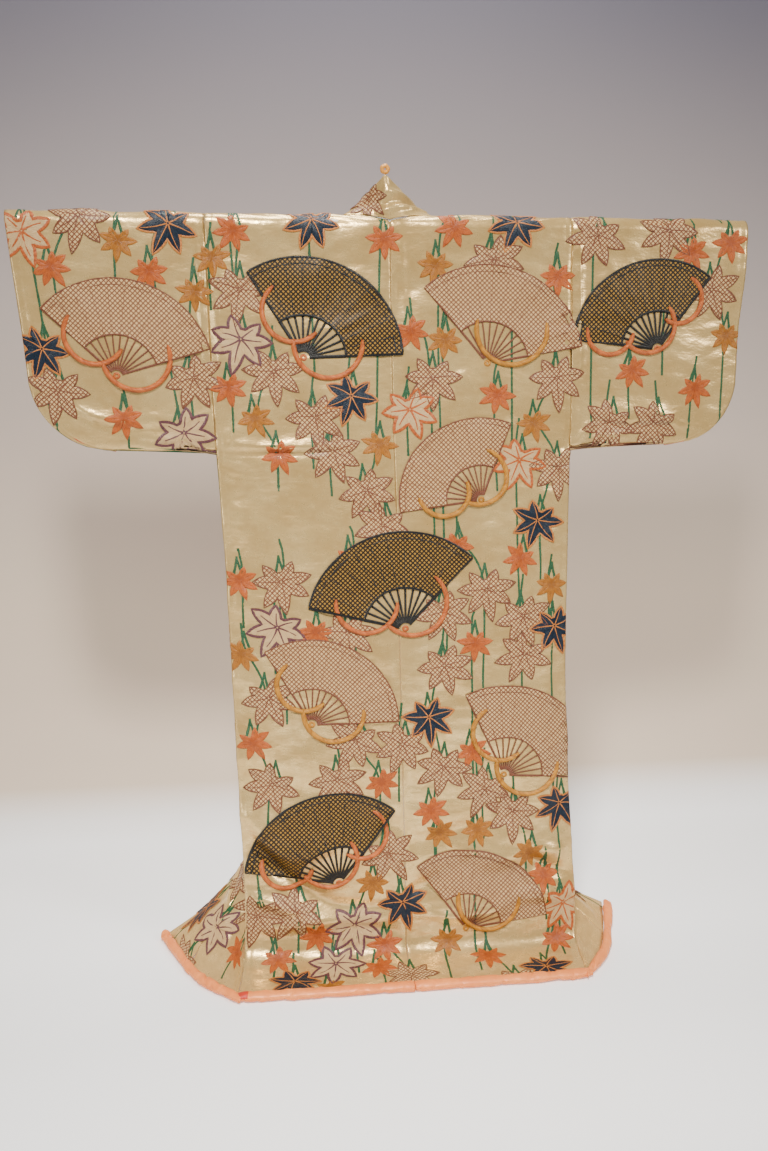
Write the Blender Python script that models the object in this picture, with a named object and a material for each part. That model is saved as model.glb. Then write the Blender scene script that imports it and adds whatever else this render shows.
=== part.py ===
"""A wadded satin kimono hung by its shoulders on a plain T-bar display stand.

Metres, +Z up. The garment's back faces -Y, and its left as seen from the back is at -X. Each cloth piece is a
sheet in its own flat cloth sizes: a distance across the cloth, and a distance down it from the shoulder fold,
negative on the back and positive on the front. A function per piece says where that cloth hangs.
"""

import math

import bmesh
import bpy
from mathutils import Matrix, Vector

# Cloth
WALL = 0.0024
COLLAR_WALL = 0.0030
SEAM_GAP = 0.0003
SEAM_SPACE = 0.0008
REST_GAP = 0.0010
COLLAR_STANDOFF = 0.0016
COLLAR_KINK_STANDOFF = 0.0024
LAYER_PITCH = WALL + 2 * SEAM_GAP

# Stand
BAR_RADIUS = 0.0175
BAR_HALF_LENGTH = 0.615
BAR_CHAMFER = 0.003
POST_RADIUS = 0.016
POST_FOOT_RADIUS = 0.034
POST_FOOT_HEIGHT = 0.010
PEG_RADIUS = 0.006
PEG_TOP = 1.336
BASE_SIZE = (0.34, 0.17, 0.012)
BASE_CENTRE_Y = 0.012
BASE_CORNER = 0.03

# Garment
SHOULDER_HEIGHT = 1.300
HEM_DOWN = 1.430
SLEEVE_DROP = 0.408
SLEEVE_CORNER = 0.118
# A sleeve's width along the shoulder, and how much narrower it hangs for each metre down
SLEEVE_SIZES = {"left": (0.3168, 0.056), "right": (0.3148, 0.022)}
NECK_HALF = 0.073
NECK_DIP = 0.020
# Where, down the cloth: the collar comes off the neck, the side seam turns flat for the floor, the front's
# section grows soft, and the sleeve's two layers come together
COLLAR_TURNS = (0.0, 0.16)
SEAM_TURNS = (1.16, 1.30)
SECTION_SOFTENS = (0.10, 0.55)
SLEEVE_CLOSES = (0.08, 0.220)
# The share of the sleeve's width over which it closes toward its outer edge
SLEEVE_CLOSES_ACROSS = (0.62, 1.0)
COLLAR_WIDTH = 0.065
COLLAR_END = 0.605
# The first row of cloth below this is free of the collar
COLLAR_FREE = COLLAR_END + 0.005
OKUMI_TIP = 0.250
OKUMI_AT_COLLAR_END = 0.052
OKUMI_WIDTH = 0.117
OKUMI_TIP_SHARE = 0.06
BODY_WIDTH = 0.30
COLLAR_APEX = (-0.0070, -0.0110, 1.3630)
LOOP_ACROSS = 0.0168
LOOP_THICKNESS = 0.0068
ROLL_DEPTH = 0.023
ROLL_HEIGHT = 0.015

HUG_RADIUS = BAR_RADIUS + REST_GAP + WALL / 2
BAR_Z = SHOULDER_HEIGHT - WALL / 2 - HUG_RADIUS
HUG_DOWN = HUG_RADIUS * math.pi / 2

# Where the back's middle line hangs, below the bar: y, z of the middle of the cloth
BACK_FALL = (
    (-0.0200, 1.230),
    (-0.0235, 1.130),
    (-0.0340, 0.950),
    (-0.0500, 0.700),
    (-0.0690, 0.450),
    (-0.0875, 0.220),
    (-0.1000, 0.100),
    (-0.1070, 0.050),
    (-0.1140, 0.0240),
    (-0.1300, 0.0085),
    (-0.1600, 0.0040),
    (-0.2120, 0.0026),
)

# Across the back, down the cloth: the left edge, the centre seam, the right edge, and how far forward of the
# middle line the two side seams lie
BACK_COLUMNS = ("down", "left", "centre", "right", "forward")
BACK_ROWS = (
    (0.000, -0.306, 0.000, 0.312, 0.000),
    (0.408, -0.297, 0.006, 0.320, 0.014),
    (0.610, -0.287, 0.012, 0.320, 0.018),
    (0.800, -0.281, 0.014, 0.319, 0.020),
    (1.000, -0.275, 0.017, 0.325, 0.020),
    (1.150, -0.270, 0.019, 0.333, 0.018),
    (1.270, -0.268, 0.020, 0.338, 0.010),
    (1.350, -0.274, 0.019, 0.334, 0.006),
    (1.430, -0.284, 0.018, 0.328, 0.004),
)

# The fronts, down the cloth: a knee in the section, and the free edge. "inward" is how far the soft fold
# between the side seam and the knee goes in
FRONT_COLUMNS = ("down", "knee_x", "knee_y", "knee_z", "edge_x", "edge_y", "edge_z", "inward")
FRONT_ROWS = {
    "left": (
        (0.000, -0.073, 0.019, 1.2797, -0.047, 0.052, 1.320, 0.000),
        (0.030, -0.073, 0.019, 1.2797, -0.038, 0.068, 1.292, 0.000),
        (0.100, -0.068, 0.034, 1.2090, -0.030, 0.080, 1.220, 0.000),
        (0.230, -0.060, 0.055, 1.0790, -0.020, 0.092, 1.085, 0.002),
        (0.400, -0.062, 0.078, 0.9050, -0.014, 0.104, 0.910, 0.004),
        (0.610, -0.090, 0.105, 0.6950, -0.022, 0.110, 0.700, 0.010),
        (0.850, -0.150, 0.132, 0.4550, -0.076, 0.138, 0.462, 0.022),
        (1.050, -0.215, 0.120, 0.2650, -0.140, 0.178, 0.278, 0.032),
        (1.200, -0.258, 0.085, 0.1250, -0.212, 0.178, 0.145, 0.042),
        (1.300, -0.305, 0.038, 0.0450, -0.284, 0.135, 0.060, 0.026),
        (1.370, -0.360, -0.003, 0.0110, -0.350, 0.082, 0.015, 0.010),
        (1.430, -0.388, -0.050, 0.0026, -0.412, 0.018, 0.0026, -0.013),
    ),
    "right": (
        (0.000, 0.073, 0.019, 1.2797, 0.047, 0.052, 1.320, 0.000),
        (0.030, 0.073, 0.019, 1.2797, 0.038, 0.068, 1.292, 0.000),
        (0.100, 0.068, 0.034, 1.2090, 0.030, 0.080, 1.220, 0.000),
        (0.230, 0.060, 0.055, 1.0790, 0.020, 0.092, 1.085, 0.002),
        (0.400, 0.064, 0.080, 0.9050, 0.014, 0.104, 0.910, 0.004),
        (0.610, 0.098, 0.110, 0.6950, 0.026, 0.112, 0.700, 0.012),
        (0.850, 0.170, 0.140, 0.4550, 0.094, 0.142, 0.462, 0.024),
        (1.050, 0.245, 0.128, 0.2600, 0.165, 0.178, 0.275, 0.034),
        (1.200, 0.300, 0.088, 0.1150, 0.240, 0.172, 0.135, 0.042),
        (1.300, 0.350, 0.035, 0.0320, 0.315, 0.132, 0.042, 0.024),
        (1.370, 0.390, -0.003, 0.0090, 0.375, 0.085, 0.012, 0.008),
        (1.430, 0.408, -0.055, 0.0026, 0.432, 0.030, 0.0026, -0.010),
    ),
}

# The largest soft folds: the piece, then the place across and down the cloth, the reach across and down, how
# far the fold tilts as it goes across, and how far it stands out of the cloth
FOLD_COLUMNS = ("piece", "across", "down", "reach_across", "reach_down", "tilt", "height")
FOLD_ROWS = (
    ("body_left", 0.175, -1.130, 0.100, 0.045, 0.10, 0.0050),
    ("body_left", 0.180, -1.215, 0.110, 0.040, -0.05, -0.0060),
    ("body_left", 0.080, -1.180, 0.070, 0.045, 0.20, 0.0035),
    ("body_right", 0.190, -1.150, 0.090, 0.040, -0.15, 0.0045),
    ("body_right", 0.110, -1.220, 0.100, 0.040, 0.10, -0.0050),
    ("body_left", 0.275, -0.240, 0.022, 0.150, 0.00, 0.0030),
    ("body_right", 0.160, -0.900, 0.030, 0.200, 0.00, 0.0030),
    ("body_left", 0.120, 0.800, 0.035, 0.300, 0.00, 0.0060),
    ("body_right", 0.120, 0.800, 0.035, 0.300, 0.00, 0.0060),
    ("sleeve_left", 0.130, -0.355, 0.120, 0.022, 0.05, 0.0030),
    ("sleeve_left", 0.150, -0.325, 0.130, 0.018, 0.05, -0.0025),
    ("sleeve_right", 0.120, -0.350, 0.120, 0.022, -0.05, 0.0030),
    ("sleeve_right", 0.140, -0.322, 0.120, 0.018, -0.05, -0.0025),
)

# Rows of cloth, down from the shoulder fold: the same on the body, the sleeves and the overlap panels, so
# that sewn edges have the same facets
SHOULDER_STEPS = (0.000, 0.010, 0.020, 0.030, 0.055, 0.100, 0.160, 0.220, 0.280, 0.315, 0.345, 0.376, 0.396)
SIDE_STEPS = (0.408, 0.450, 0.520, 0.605, 0.616, 0.700, 0.790, 0.880, 0.960, 1.030, 1.090, 1.140, 1.180, 1.215)
FLOOR_STEPS = (1.245, 1.262, 1.278, 1.294, 1.312, 1.340, 1.380, 1.430)
DOWN_STEPS = SHOULDER_STEPS + SIDE_STEPS + FLOOR_STEPS
BODY_COLUMNS = 11
SLEEVE_COLUMNS = 9
OKUMI_COLUMNS = 4
COLLAR_COLUMNS = 4
ROLL_SIDES = 8
CURVE_STEPS = 12
SECTION_STEPS = 32
SHARP_ANGLE = math.radians(35)

SATIN = ("ivory satin", (0.62, 0.54, 0.38), 0.38, 0.0)
SALMON = ("salmon silk", (0.78, 0.36, 0.20), 0.50, 0.0)
GOLD_SILK = ("gold silk", (0.75, 0.52, 0.18), 0.45, 0.0)
STAND_PAINT = ("stand paint", (0.70, 0.69, 0.66), 0.45, 0.0)


def clear_scene():
    for old in list(bpy.data.objects):
        bpy.data.objects.remove(old, do_unlink=True)


def material(finish):
    name, colour, roughness, metallic = finish
    made = bpy.data.materials.get(name) or bpy.data.materials.new(name)
    made.use_nodes = True
    shader = made.node_tree.nodes["Principled BSDF"]
    shader.inputs["Base Color"].default_value = (*colour, 1.0)
    shader.inputs["Roughness"].default_value = roughness
    shader.inputs["Metallic"].default_value = metallic
    return made


def ease(low, high, value):
    """0 below low, 1 above high, and a smooth step between."""
    t = min(max((value - low) / (high - low), 0.0), 1.0)
    return t * t * (3 - 2 * t)


def smooth_rows(rows, key, column):
    """One column of a table at a key between its rows, on a smooth curve through them."""
    keys = [row[0] for row in rows]
    key = min(max(key, keys[0]), keys[-1])
    i = max(k for k in range(len(keys) - 1) if keys[k] <= key)
    slopes = []
    for k in (i, i + 1):
        low, high = max(k - 1, 0), min(k + 1, len(rows) - 1)
        before = (rows[k][column] - rows[low][column]) / (keys[k] - keys[low]) if k > low else None
        after = (rows[high][column] - rows[k][column]) / (keys[high] - keys[k]) if high > k else None
        if before is None or after is None:
            slopes.append(before if after is None else after)
        else:
            near, far = keys[k] - keys[low], keys[high] - keys[k]
            slopes.append((before * far + after * near) / (near + far))
    span = keys[i + 1] - keys[i]
    t = (key - keys[i]) / span
    start, end = rows[i][column], rows[i + 1][column]
    return (
        (2 * t**3 - 3 * t**2 + 1) * start
        + (t**3 - 2 * t**2 + t) * span * slopes[0]
        + (3 * t**2 - 2 * t**3) * end
        + (t**3 - t**2) * span * slopes[1]
    )


def from_table(rows, columns, key, *names):
    return [smooth_rows(rows, key, columns.index(name)) for name in names]


def measured(points):
    """The points with the distance run to each."""
    runs = [0.0]
    for a, b in zip(points, points[1:]):
        runs.append(runs[-1] + (b - a).length)
    return runs, points


def along(path, run):
    """The point at a distance along a measured path."""
    runs, points = path
    run = min(max(run, 0.0), runs[-1])
    i = max(k for k in range(len(runs) - 1) if runs[k] <= run)
    t = (run - runs[i]) / (runs[i + 1] - runs[i])
    return points[i].lerp(points[i + 1], t)


def spline(points, steps):
    """Points on a smooth curve through the given ones."""
    made = []
    ends = [2 * points[0] - points[1], *points, 2 * points[-1] - points[-2]]
    for i in range(1, len(ends) - 2):
        p0, p1, p2, p3 = ends[i - 1 : i + 3]
        for k in range(steps):
            t = k / steps
            made.append(
                0.5
                * (
                    2 * p1
                    + (p2 - p0) * t
                    + (2 * p0 - 5 * p1 + 4 * p2 - p3) * t**2
                    + (3 * p1 - p0 - 3 * p2 + p3) * t**3
                )
            )
    made.append(points[-1].copy())
    return made


def hug(down):
    """y and z of cloth that lies on the crossbar, at a distance from the top of the fold."""
    angle = down / HUG_RADIUS
    return HUG_RADIUS * math.sin(angle), BAR_Z + HUG_RADIUS * math.cos(angle)


def back_path():
    start = [Vector((0, -HUG_RADIUS, BAR_Z))]
    rest = [Vector((0, y, z)) for y, z in BACK_FALL]
    return measured(spline(start + rest, CURVE_STEPS))


BACK_PATH = back_path()


def back_line(down):
    """y and z of the back's middle line."""
    if down <= HUG_DOWN:
        y, z = hug(down)
        return -y, z
    share = (down - HUG_DOWN) / (HEM_DOWN - HUG_DOWN)
    point = along(BACK_PATH, share * BACK_PATH[0][-1])
    return point.y, point.z


def half_parting(down):
    """Half the space between a sleeve's front and back at its armhole."""
    closed = LAYER_PITCH / 2
    if down <= HUG_DOWN:
        return hug(down)[0]
    t = min((down - HUG_DOWN) / (SLEEVE_DROP - HUG_DOWN), 1.0)
    return closed + (HUG_RADIUS - closed) * (1 - t**1.6)


def side_middle(side, down):
    """The middle of the side seam, or of the armhole above it."""
    x, forward = from_table(BACK_ROWS, BACK_COLUMNS, down, side, "forward")
    y, z = back_line(down)
    if down <= HUG_DOWN:
        return Vector((x, 0.0, z))
    hang = ease(HUG_DOWN, SLEEVE_DROP, down)
    return Vector((x, (y + forward) * hang, z))


def side_layer(side, down, layer):
    """The edge of the back (layer -1) or the front (layer 1) along the armhole and the side seam."""
    middle = side_middle(side, down)
    if down <= SLEEVE_DROP:
        return middle + Vector((0, layer * half_parting(down), 0))
    outward = -1 if side == "left" else 1
    turn = ease(*SEAM_TURNS, down) * math.pi / 2
    apart = Vector((outward * math.sin(turn), math.cos(turn), 0))
    return middle + apart * (layer * LAYER_PITCH / 2)


def back_point(side, share, down):
    """The back: share 0 at the centre seam and 1 at the side."""
    neck = NECK_HALF * max(0.0, 1 - down / NECK_DIP)
    (centre,) = from_table(BACK_ROWS, BACK_COLUMNS, down, "centre")
    outward = -1 if side == "left" else 1
    inner = centre + outward * (SEAM_GAP / 2 + neck)
    edge = side_layer(side, down, -1)
    y, z = back_line(down)
    turned = max(0.0, (share - 0.55) / 0.45) ** 2
    return Vector((inner + (edge.x - inner) * share, y + (edge.y - y) * turned, z + (edge.z - z) * turned))


def front_section(side, down):
    """The section of one front, from the side seam to the free edge, as a measured path."""
    rows = FRONT_ROWS[side]
    outward = -1 if side == "left" else 1
    start = side_layer(side, down, 1)
    knee = Vector(from_table(rows, FRONT_COLUMNS, down, "knee_x", "knee_y", "knee_z"))
    if down <= HUG_DOWN:
        knee = Vector((knee.x, *hug(down)))
    edge = Vector(from_table(rows, FRONT_COLUMNS, down, "edge_x", "edge_y", "edge_z"))
    (inward,) = from_table(rows, FRONT_COLUMNS, down, "inward")
    run = knee - start
    in_direction = Vector((-run.y * outward, run.x * outward, 0)).normalized()
    fold = start.lerp(knee, 0.5) + in_direction * inward
    straight = measured([start, fold, knee, edge])
    curved = measured(spline([start, fold, knee, edge], CURVE_STEPS))
    softness = ease(*SECTION_SOFTENS, down)
    blend = []
    for k in range(SECTION_STEPS + 1):
        part = k / SECTION_STEPS
        a = along(straight, part * straight[0][-1])
        b = along(curved, part * curved[0][-1])
        blend.append(a.lerp(b, softness))
    return measured(blend)


SECTIONS = {}


def section(side, down):
    key = (side, round(down, 6))
    if key not in SECTIONS:
        SECTIONS[key] = front_section(side, down)
    return SECTIONS[key]


def okumi_reach(down):
    """Width of the overlap panel that shows beside the collar, or all of it below the collar."""
    if down > COLLAR_FREE:
        return OKUMI_WIDTH
    return OKUMI_AT_COLLAR_END * max(OKUMI_TIP_SHARE, (down - OKUMI_TIP) / (COLLAR_END - OKUMI_TIP))


def body_reach(side, down):
    """How far the front body panel runs along the section."""
    total = section(side, down)[0][-1]
    if down < OKUMI_TIP:
        return total - COLLAR_WIDTH - SEAM_SPACE
    collar = COLLAR_WIDTH if down <= COLLAR_FREE else 0.0
    return total - collar - okumi_reach(down) - SEAM_SPACE / 2


def body_point(side, share, down):
    """A body panel: share 0 at the inner edge and 1 at the side seam."""
    if down <= 0:
        return back_point(side, share, -down)
    return along(section(side, down), (1 - share) * body_reach(side, down))


def okumi_point(side, share, down):
    """An overlap panel: share 0 at its body seam and 1 at its free or collar edge."""
    total = section(side, down)[0][-1]
    start = body_reach(side, down) + SEAM_SPACE
    end = total - (COLLAR_WIDTH + SEAM_SPACE if down <= COLLAR_FREE else 0.0)
    return along(section(side, down), start + (end - start) * share)


def sleeve_reach(side, down):
    """How far the sleeve runs out from its seam, with the round lower corner."""
    width, lean = SLEEVE_SIZES[side]
    reach = width - lean * down
    into_corner = down - (SLEEVE_DROP - SLEEVE_CORNER)
    if into_corner > 0:
        reach -= SLEEVE_CORNER - math.sqrt(max(SLEEVE_CORNER**2 - into_corner**2, 0.0))
    return reach


def sleeve_point(side, share, down):
    """A sleeve: share 0 at the armhole and 1 at the outer edge."""
    outward = -1 if side == "left" else 1
    depth = abs(down)
    layer = -1 if down < 0 else 1
    seam = side_middle(side, depth)
    closed = LAYER_PITCH / 2
    parting = half_parting(depth)
    closing = ease(*SLEEVE_CLOSES, depth) * ease(*SLEEVE_CLOSES_ACROSS, share)
    if depth > HUG_DOWN:
        parting = closed + (parting - closed) * (1 - closing)
    x = seam.x + outward * (SEAM_SPACE + share * sleeve_reach(side, depth))
    y = seam.y * (1 - 0.7 * share) + layer * parting
    return Vector((x, y, seam.z))


def fold_height(piece, across, down):
    """How far the largest soft folds lift the cloth of a piece at a place on it."""
    height = 0.0
    for row in FOLD_ROWS:
        fold = dict(zip(FOLD_COLUMNS, row))
        if fold["piece"] != piece:
            continue
        u = across - fold["across"]
        v = down - fold["down"] - u * fold["tilt"]
        height += fold["height"] * math.exp(-((u / fold["reach_across"]) ** 2) - (v / fold["reach_down"]) ** 2)
    return height


def steps_between(low, high):
    return [step for step in DOWN_STEPS if low - 1e-6 <= step <= high + 1e-6]


def both_ways(steps):
    return [-step for step in reversed(steps)] + [step for step in steps if step > 0]


def sheet(name, columns, rows, place, width, wall, finish):
    """A panel of cloth: a grid moved to where the cloth hangs, folded, and given its thickness."""
    mesh = bpy.data.meshes.new(name)
    bm = bmesh.new()
    bmesh.ops.create_grid(bm, x_segments=columns, y_segments=len(rows) - 1, size=0.5)
    for vert in bm.verts:
        share = vert.co.x + 0.5
        down = rows[round((vert.co.y + 0.5) * (len(rows) - 1))]
        here = place(share, down)
        height = fold_height(name, share * width, down)
        if abs(height) > 1e-5:
            across = place(min(share + 0.01, 1), down) - place(max(share - 0.01, 0), down)
            below = place(share, down + 0.002) - place(share, down - 0.002)
            normal = across.cross(below).normalized()
            outside = Vector((0, -1, 0.3)) if down < 0 else Vector((0, 1, 0.3))
            here = here + normal * (height if normal.dot(outside) > 0 else -height)
        vert.co = here
    bmesh.ops.recalc_face_normals(bm, faces=bm.faces)
    bm.to_mesh(mesh)
    bm.free()
    made = bpy.data.objects.new(name, mesh)
    bpy.context.scene.collection.objects.link(made)
    mesh.materials.append(material(finish))
    mesh.shade_smooth()
    thickness = made.modifiers.new("cloth thickness", "SOLIDIFY")
    thickness.thickness = wall
    thickness.offset = 0.0
    thickness.use_even_offset = True
    return made


def make_body(side):
    steps = both_ways(steps_between(0, HEM_DOWN))

    def place(share, down):
        return body_point(side, share, down)

    sheet(f"body_{side}", BODY_COLUMNS, steps, place, BODY_WIDTH, WALL, SATIN)


def make_sleeve(side):
    steps = both_ways(steps_between(0, SLEEVE_DROP))

    def place(share, down):
        return sleeve_point(side, share, down)

    sheet(f"sleeve_{side}", SLEEVE_COLUMNS, steps, place, SLEEVE_SIZES[side][0], WALL, SATIN)


def make_okumi(side):
    steps = steps_between(OKUMI_TIP, HEM_DOWN)

    def place(share, down):
        return okumi_point(side, share, down)

    sheet(f"okumi_{side}", OKUMI_COLUMNS, steps, place, OKUMI_WIDTH, WALL, SATIN)


def collar_ends(side, run):
    """The seam point and the free-edge point of the collar, at a run from the centre back."""
    outward = -1 if side == "left" else 1
    if run >= NECK_HALF:
        down = run - NECK_HALF
        path = section(side, down)
        total = path[0][-1]
        standoff = COLLAR_STANDOFF + COLLAR_KINK_STANDOFF * (1 - ease(*COLLAR_TURNS, down))
        return along(path, total - COLLAR_WIDTH + standoff), along(path, total)
    t = run / NECK_HALF
    y, z = hug(NECK_DIP * (1 - t))
    seam = Vector((outward * NECK_HALF * t, -y, z))
    path = section(side, 0.0)
    edge_at_neck = along(path, path[0][-1])
    apex = Vector(COLLAR_APEX)
    edge = apex.lerp(edge_at_neck, t)
    edge.y = apex.y + (edge_at_neck.y - apex.y) * t**1.5
    standoff = COLLAR_KINK_STANDOFF + COLLAR_STANDOFF * t
    return seam + (edge - seam).normalized() * standoff, edge


def make_collar():
    front = [NECK_HALF + step for step in steps_between(0.0, COLLAR_END)]
    runs = [0.0, 0.020, 0.045, *front]
    signed = [-run for run in reversed(runs)] + runs[1:]

    def place(share, run):
        seam, edge = collar_ends("left" if run < 0 else "right", abs(run))
        return seam.lerp(edge, share)

    sheet("collar", COLLAR_COLUMNS, signed, place, COLLAR_WIDTH, COLLAR_WALL, SATIN)


def hem_line(place, columns):
    """Points along a panel's hem, each with the level direction in which its cloth ends."""
    made = []
    for column in range(columns + 1):
        share = column / columns
        here = place(share, HEM_DOWN)
        before = place(share, HEM_DOWN - 0.012)
        ending = Vector((here.x - before.x, here.y - before.y, 0)).normalized()
        made.append((here, ending))
    return made


def make_roll(name, line):
    """A padded roll of the lining along a hem: rings round the hem line, joined and capped."""
    mesh = bpy.data.meshes.new(name)
    bm = bmesh.new()
    rings = []
    half_height = ROLL_HEIGHT / 2
    half_depth = ROLL_DEPTH / 2
    for here, ending in line:
        middle = Vector((here.x, here.y, half_height)) + ending * (half_depth + SEAM_SPACE / 2)
        ring = []
        flats = math.cos(math.pi / ROLL_SIDES)
        for k in range(ROLL_SIDES):
            angle = 2 * math.pi * (k + 0.5) / ROLL_SIDES
            level = ending * (half_depth * math.cos(angle) / flats)
            rise = half_height * math.sin(angle) / flats
            ring.append(bm.verts.new(middle + level + Vector((0, 0, rise))))
        rings.append(ring)
    for a, b in zip(rings, rings[1:]):
        for k in range(ROLL_SIDES):
            m = (k + 1) % ROLL_SIDES
            bm.faces.new((a[k], a[m], b[m], b[k]))
    bm.faces.new(rings[0])
    bm.faces.new(rings[-1])
    bmesh.ops.recalc_face_normals(bm, faces=bm.faces)
    bm.to_mesh(mesh)
    bm.free()
    made = bpy.data.objects.new(name, mesh)
    bpy.context.scene.collection.objects.link(made)
    mesh.materials.append(material(SALMON))
    mesh.shade_smooth()
    return made


def make_rolls(side):
    def trimmed(line):
        first, last = line[0], line[-1]
        inward_first = (line[1][0] - first[0]).normalized() * SEAM_GAP
        inward_last = (line[-2][0] - last[0]).normalized() * SEAM_GAP
        return [(first[0] + inward_first, first[1]), *line[1:-1], (last[0] + inward_last, last[1])]

    back = hem_line(lambda share, down: body_point(side, share, -down), BODY_COLUMNS)
    front = hem_line(lambda share, down: body_point(side, share, down), BODY_COLUMNS)
    okumi = hem_line(lambda share, down: okumi_point(side, share, down), OKUMI_COLUMNS)
    make_roll(f"hem_roll_back_{side}", trimmed(back))
    make_roll(f"hem_roll_front_{side}", trimmed(front))
    make_roll(f"hem_roll_okumi_{side}", trimmed(okumi))


def turned_solid(name, profile, sides, finish):
    """A round solid from (radius, height) pairs, spun about the upright line."""
    mesh = bpy.data.meshes.new(name)
    bm = bmesh.new()
    verts = [bm.verts.new((radius, 0, height)) for radius, height in profile]
    edges = [bm.edges.new(pair) for pair in zip(verts, verts[1:])]
    bmesh.ops.spin(
        bm, geom=verts + edges, axis=(0, 0, 1), cent=(0, 0, 0), angle=2 * math.pi, steps=sides, use_merge=True
    )
    bmesh.ops.remove_doubles(bm, verts=bm.verts, dist=1e-6)
    bmesh.ops.recalc_face_normals(bm, faces=bm.faces)
    bm.to_mesh(mesh)
    bm.free()
    made = bpy.data.objects.new(name, mesh)
    bpy.context.scene.collection.objects.link(made)
    mesh.materials.append(material(finish))
    mesh.shade_smooth()
    mesh.set_sharp_from_angle(angle=SHARP_ANGLE)
    return made


def make_stand():
    base_top = BASE_SIZE[2]
    mesh = bpy.data.meshes.new("stand_base")
    bm = bmesh.new()
    bmesh.ops.create_cube(bm, size=1.0)
    bmesh.ops.scale(bm, vec=BASE_SIZE, verts=bm.verts)
    bmesh.ops.translate(bm, vec=(0, BASE_CENTRE_Y, base_top / 2), verts=bm.verts)
    upright = [e for e in bm.edges if abs((e.verts[0].co - e.verts[1].co).z) > base_top / 2]
    bmesh.ops.bevel(
        bm, geom=upright, offset=BASE_CORNER, segments=5, profile=0.5, affect="EDGES"
    )
    bm.to_mesh(mesh)
    bm.free()
    base = bpy.data.objects.new("stand_base", mesh)
    bpy.context.scene.collection.objects.link(base)
    mesh.materials.append(material(STAND_PAINT))

    under_bar = BAR_Z - BAR_RADIUS - SEAM_GAP
    foot = base_top + SEAM_GAP
    collar = foot + POST_FOOT_HEIGHT
    post_profile = (
        (0, foot),
        (POST_FOOT_RADIUS, foot),
        (POST_FOOT_RADIUS, collar),
        (POST_RADIUS, collar + POST_FOOT_HEIGHT / 2),
        (POST_RADIUS, under_bar),
        (0, under_bar),
    )
    turned_solid("stand_post", post_profile, sides=24, finish=STAND_PAINT)

    end = BAR_HALF_LENGTH
    bar_profile = (
        (0, -end),
        (BAR_RADIUS - BAR_CHAMFER, -end),
        (BAR_RADIUS, -end + BAR_CHAMFER),
        (BAR_RADIUS, end - BAR_CHAMFER),
        (BAR_RADIUS - BAR_CHAMFER, end),
        (0, end),
    )
    bar = turned_solid("stand_crossbar", bar_profile, sides=40, finish=STAND_PAINT)
    bar.rotation_euler = (0, math.pi / 2, 0)
    bar.location = (0, 0, BAR_Z)

    over_bar = BAR_Z + BAR_RADIUS + SEAM_GAP
    peg_profile = (
        (0, over_bar),
        (PEG_RADIUS, over_bar),
        (PEG_RADIUS, PEG_TOP - PEG_RADIUS / 2),
        (PEG_RADIUS / 2, PEG_TOP),
        (0, PEG_TOP),
    )
    turned_solid("stand_peg", peg_profile, sides=16, finish=STAND_PAINT)


def make_collar_loop():
    """The small gold loop at the top of the collar: a fat ring standing on the collar's upper edge."""
    mesh = bpy.data.meshes.new("collar_loop")
    bm = bmesh.new()
    tube = LOOP_THICKNESS / 2
    ring = LOOP_ACROSS / 2 - tube
    section_ring = bmesh.ops.create_circle(bm, segments=8, radius=tube)
    bmesh.ops.rotate(bm, verts=bm.verts, cent=(0, 0, 0), matrix=Matrix.Rotation(math.pi / 2, 3, "X"))
    bmesh.ops.translate(bm, verts=section_ring["verts"], vec=(ring, 0, 0))
    bmesh.ops.spin(
        bm,
        geom=bm.verts[:] + bm.edges[:],
        axis=(0, 0, 1),
        cent=(0, 0, 0),
        angle=2 * math.pi,
        steps=16,
        use_merge=True,
    )
    bmesh.ops.recalc_face_normals(bm, faces=bm.faces)
    bm.to_mesh(mesh)
    bm.free()
    loop = bpy.data.objects.new("collar_loop", mesh)
    bpy.context.scene.collection.objects.link(loop)
    mesh.materials.append(material(GOLD_SILK))
    mesh.shade_smooth()
    loop.rotation_euler = (math.pi / 2, 0, 0)
    apex = Vector(COLLAR_APEX)
    loop.location = apex + Vector((0, 0, ring + tube + SEAM_GAP))


def stand_on_origin():
    """Moves everything so that the bottom centre of its box is the origin."""
    bpy.context.view_layer.update()
    graph = bpy.context.evaluated_depsgraph_get()
    corners = []
    for made in bpy.data.objects:
        placed = made.evaluated_get(graph)
        corners += [placed.matrix_world @ vert.co for vert in placed.data.vertices]
    low = Vector([min(corner[k] for corner in corners) for k in range(3)])
    high = Vector([max(corner[k] for corner in corners) for k in range(3)])
    middle = (low + high) / 2
    for made in bpy.data.objects:
        made.location -= Vector((middle.x, middle.y, low.z))
    print("garment's own zero is at", [round(-v, 5) for v in (middle.x, middle.y, low.z)])


clear_scene()
make_stand()
for side_name in ("left", "right"):
    make_body(side_name)
    make_sleeve(side_name)
    make_okumi(side_name)
    make_rolls(side_name)
make_collar()
make_collar_loop()
stand_on_origin()
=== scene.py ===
# %% [markdown]
# # A wadded satin kimono on a T-bar stand
#
# This lesson dresses a plain solid model of a kimono. The solids already say where every sewn piece hangs.
# Each one is remade here as thin cloth with creases, then embroidered, and the hem gets its padded roll.
# Everything is measured in metres, the garment's back faces -Y, and +Z is up.

# %% Tools
import math
import random
from bisect import bisect_right

import bmesh
import bpy
import numpy as np
from mathutils import Matrix, Vector


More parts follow.
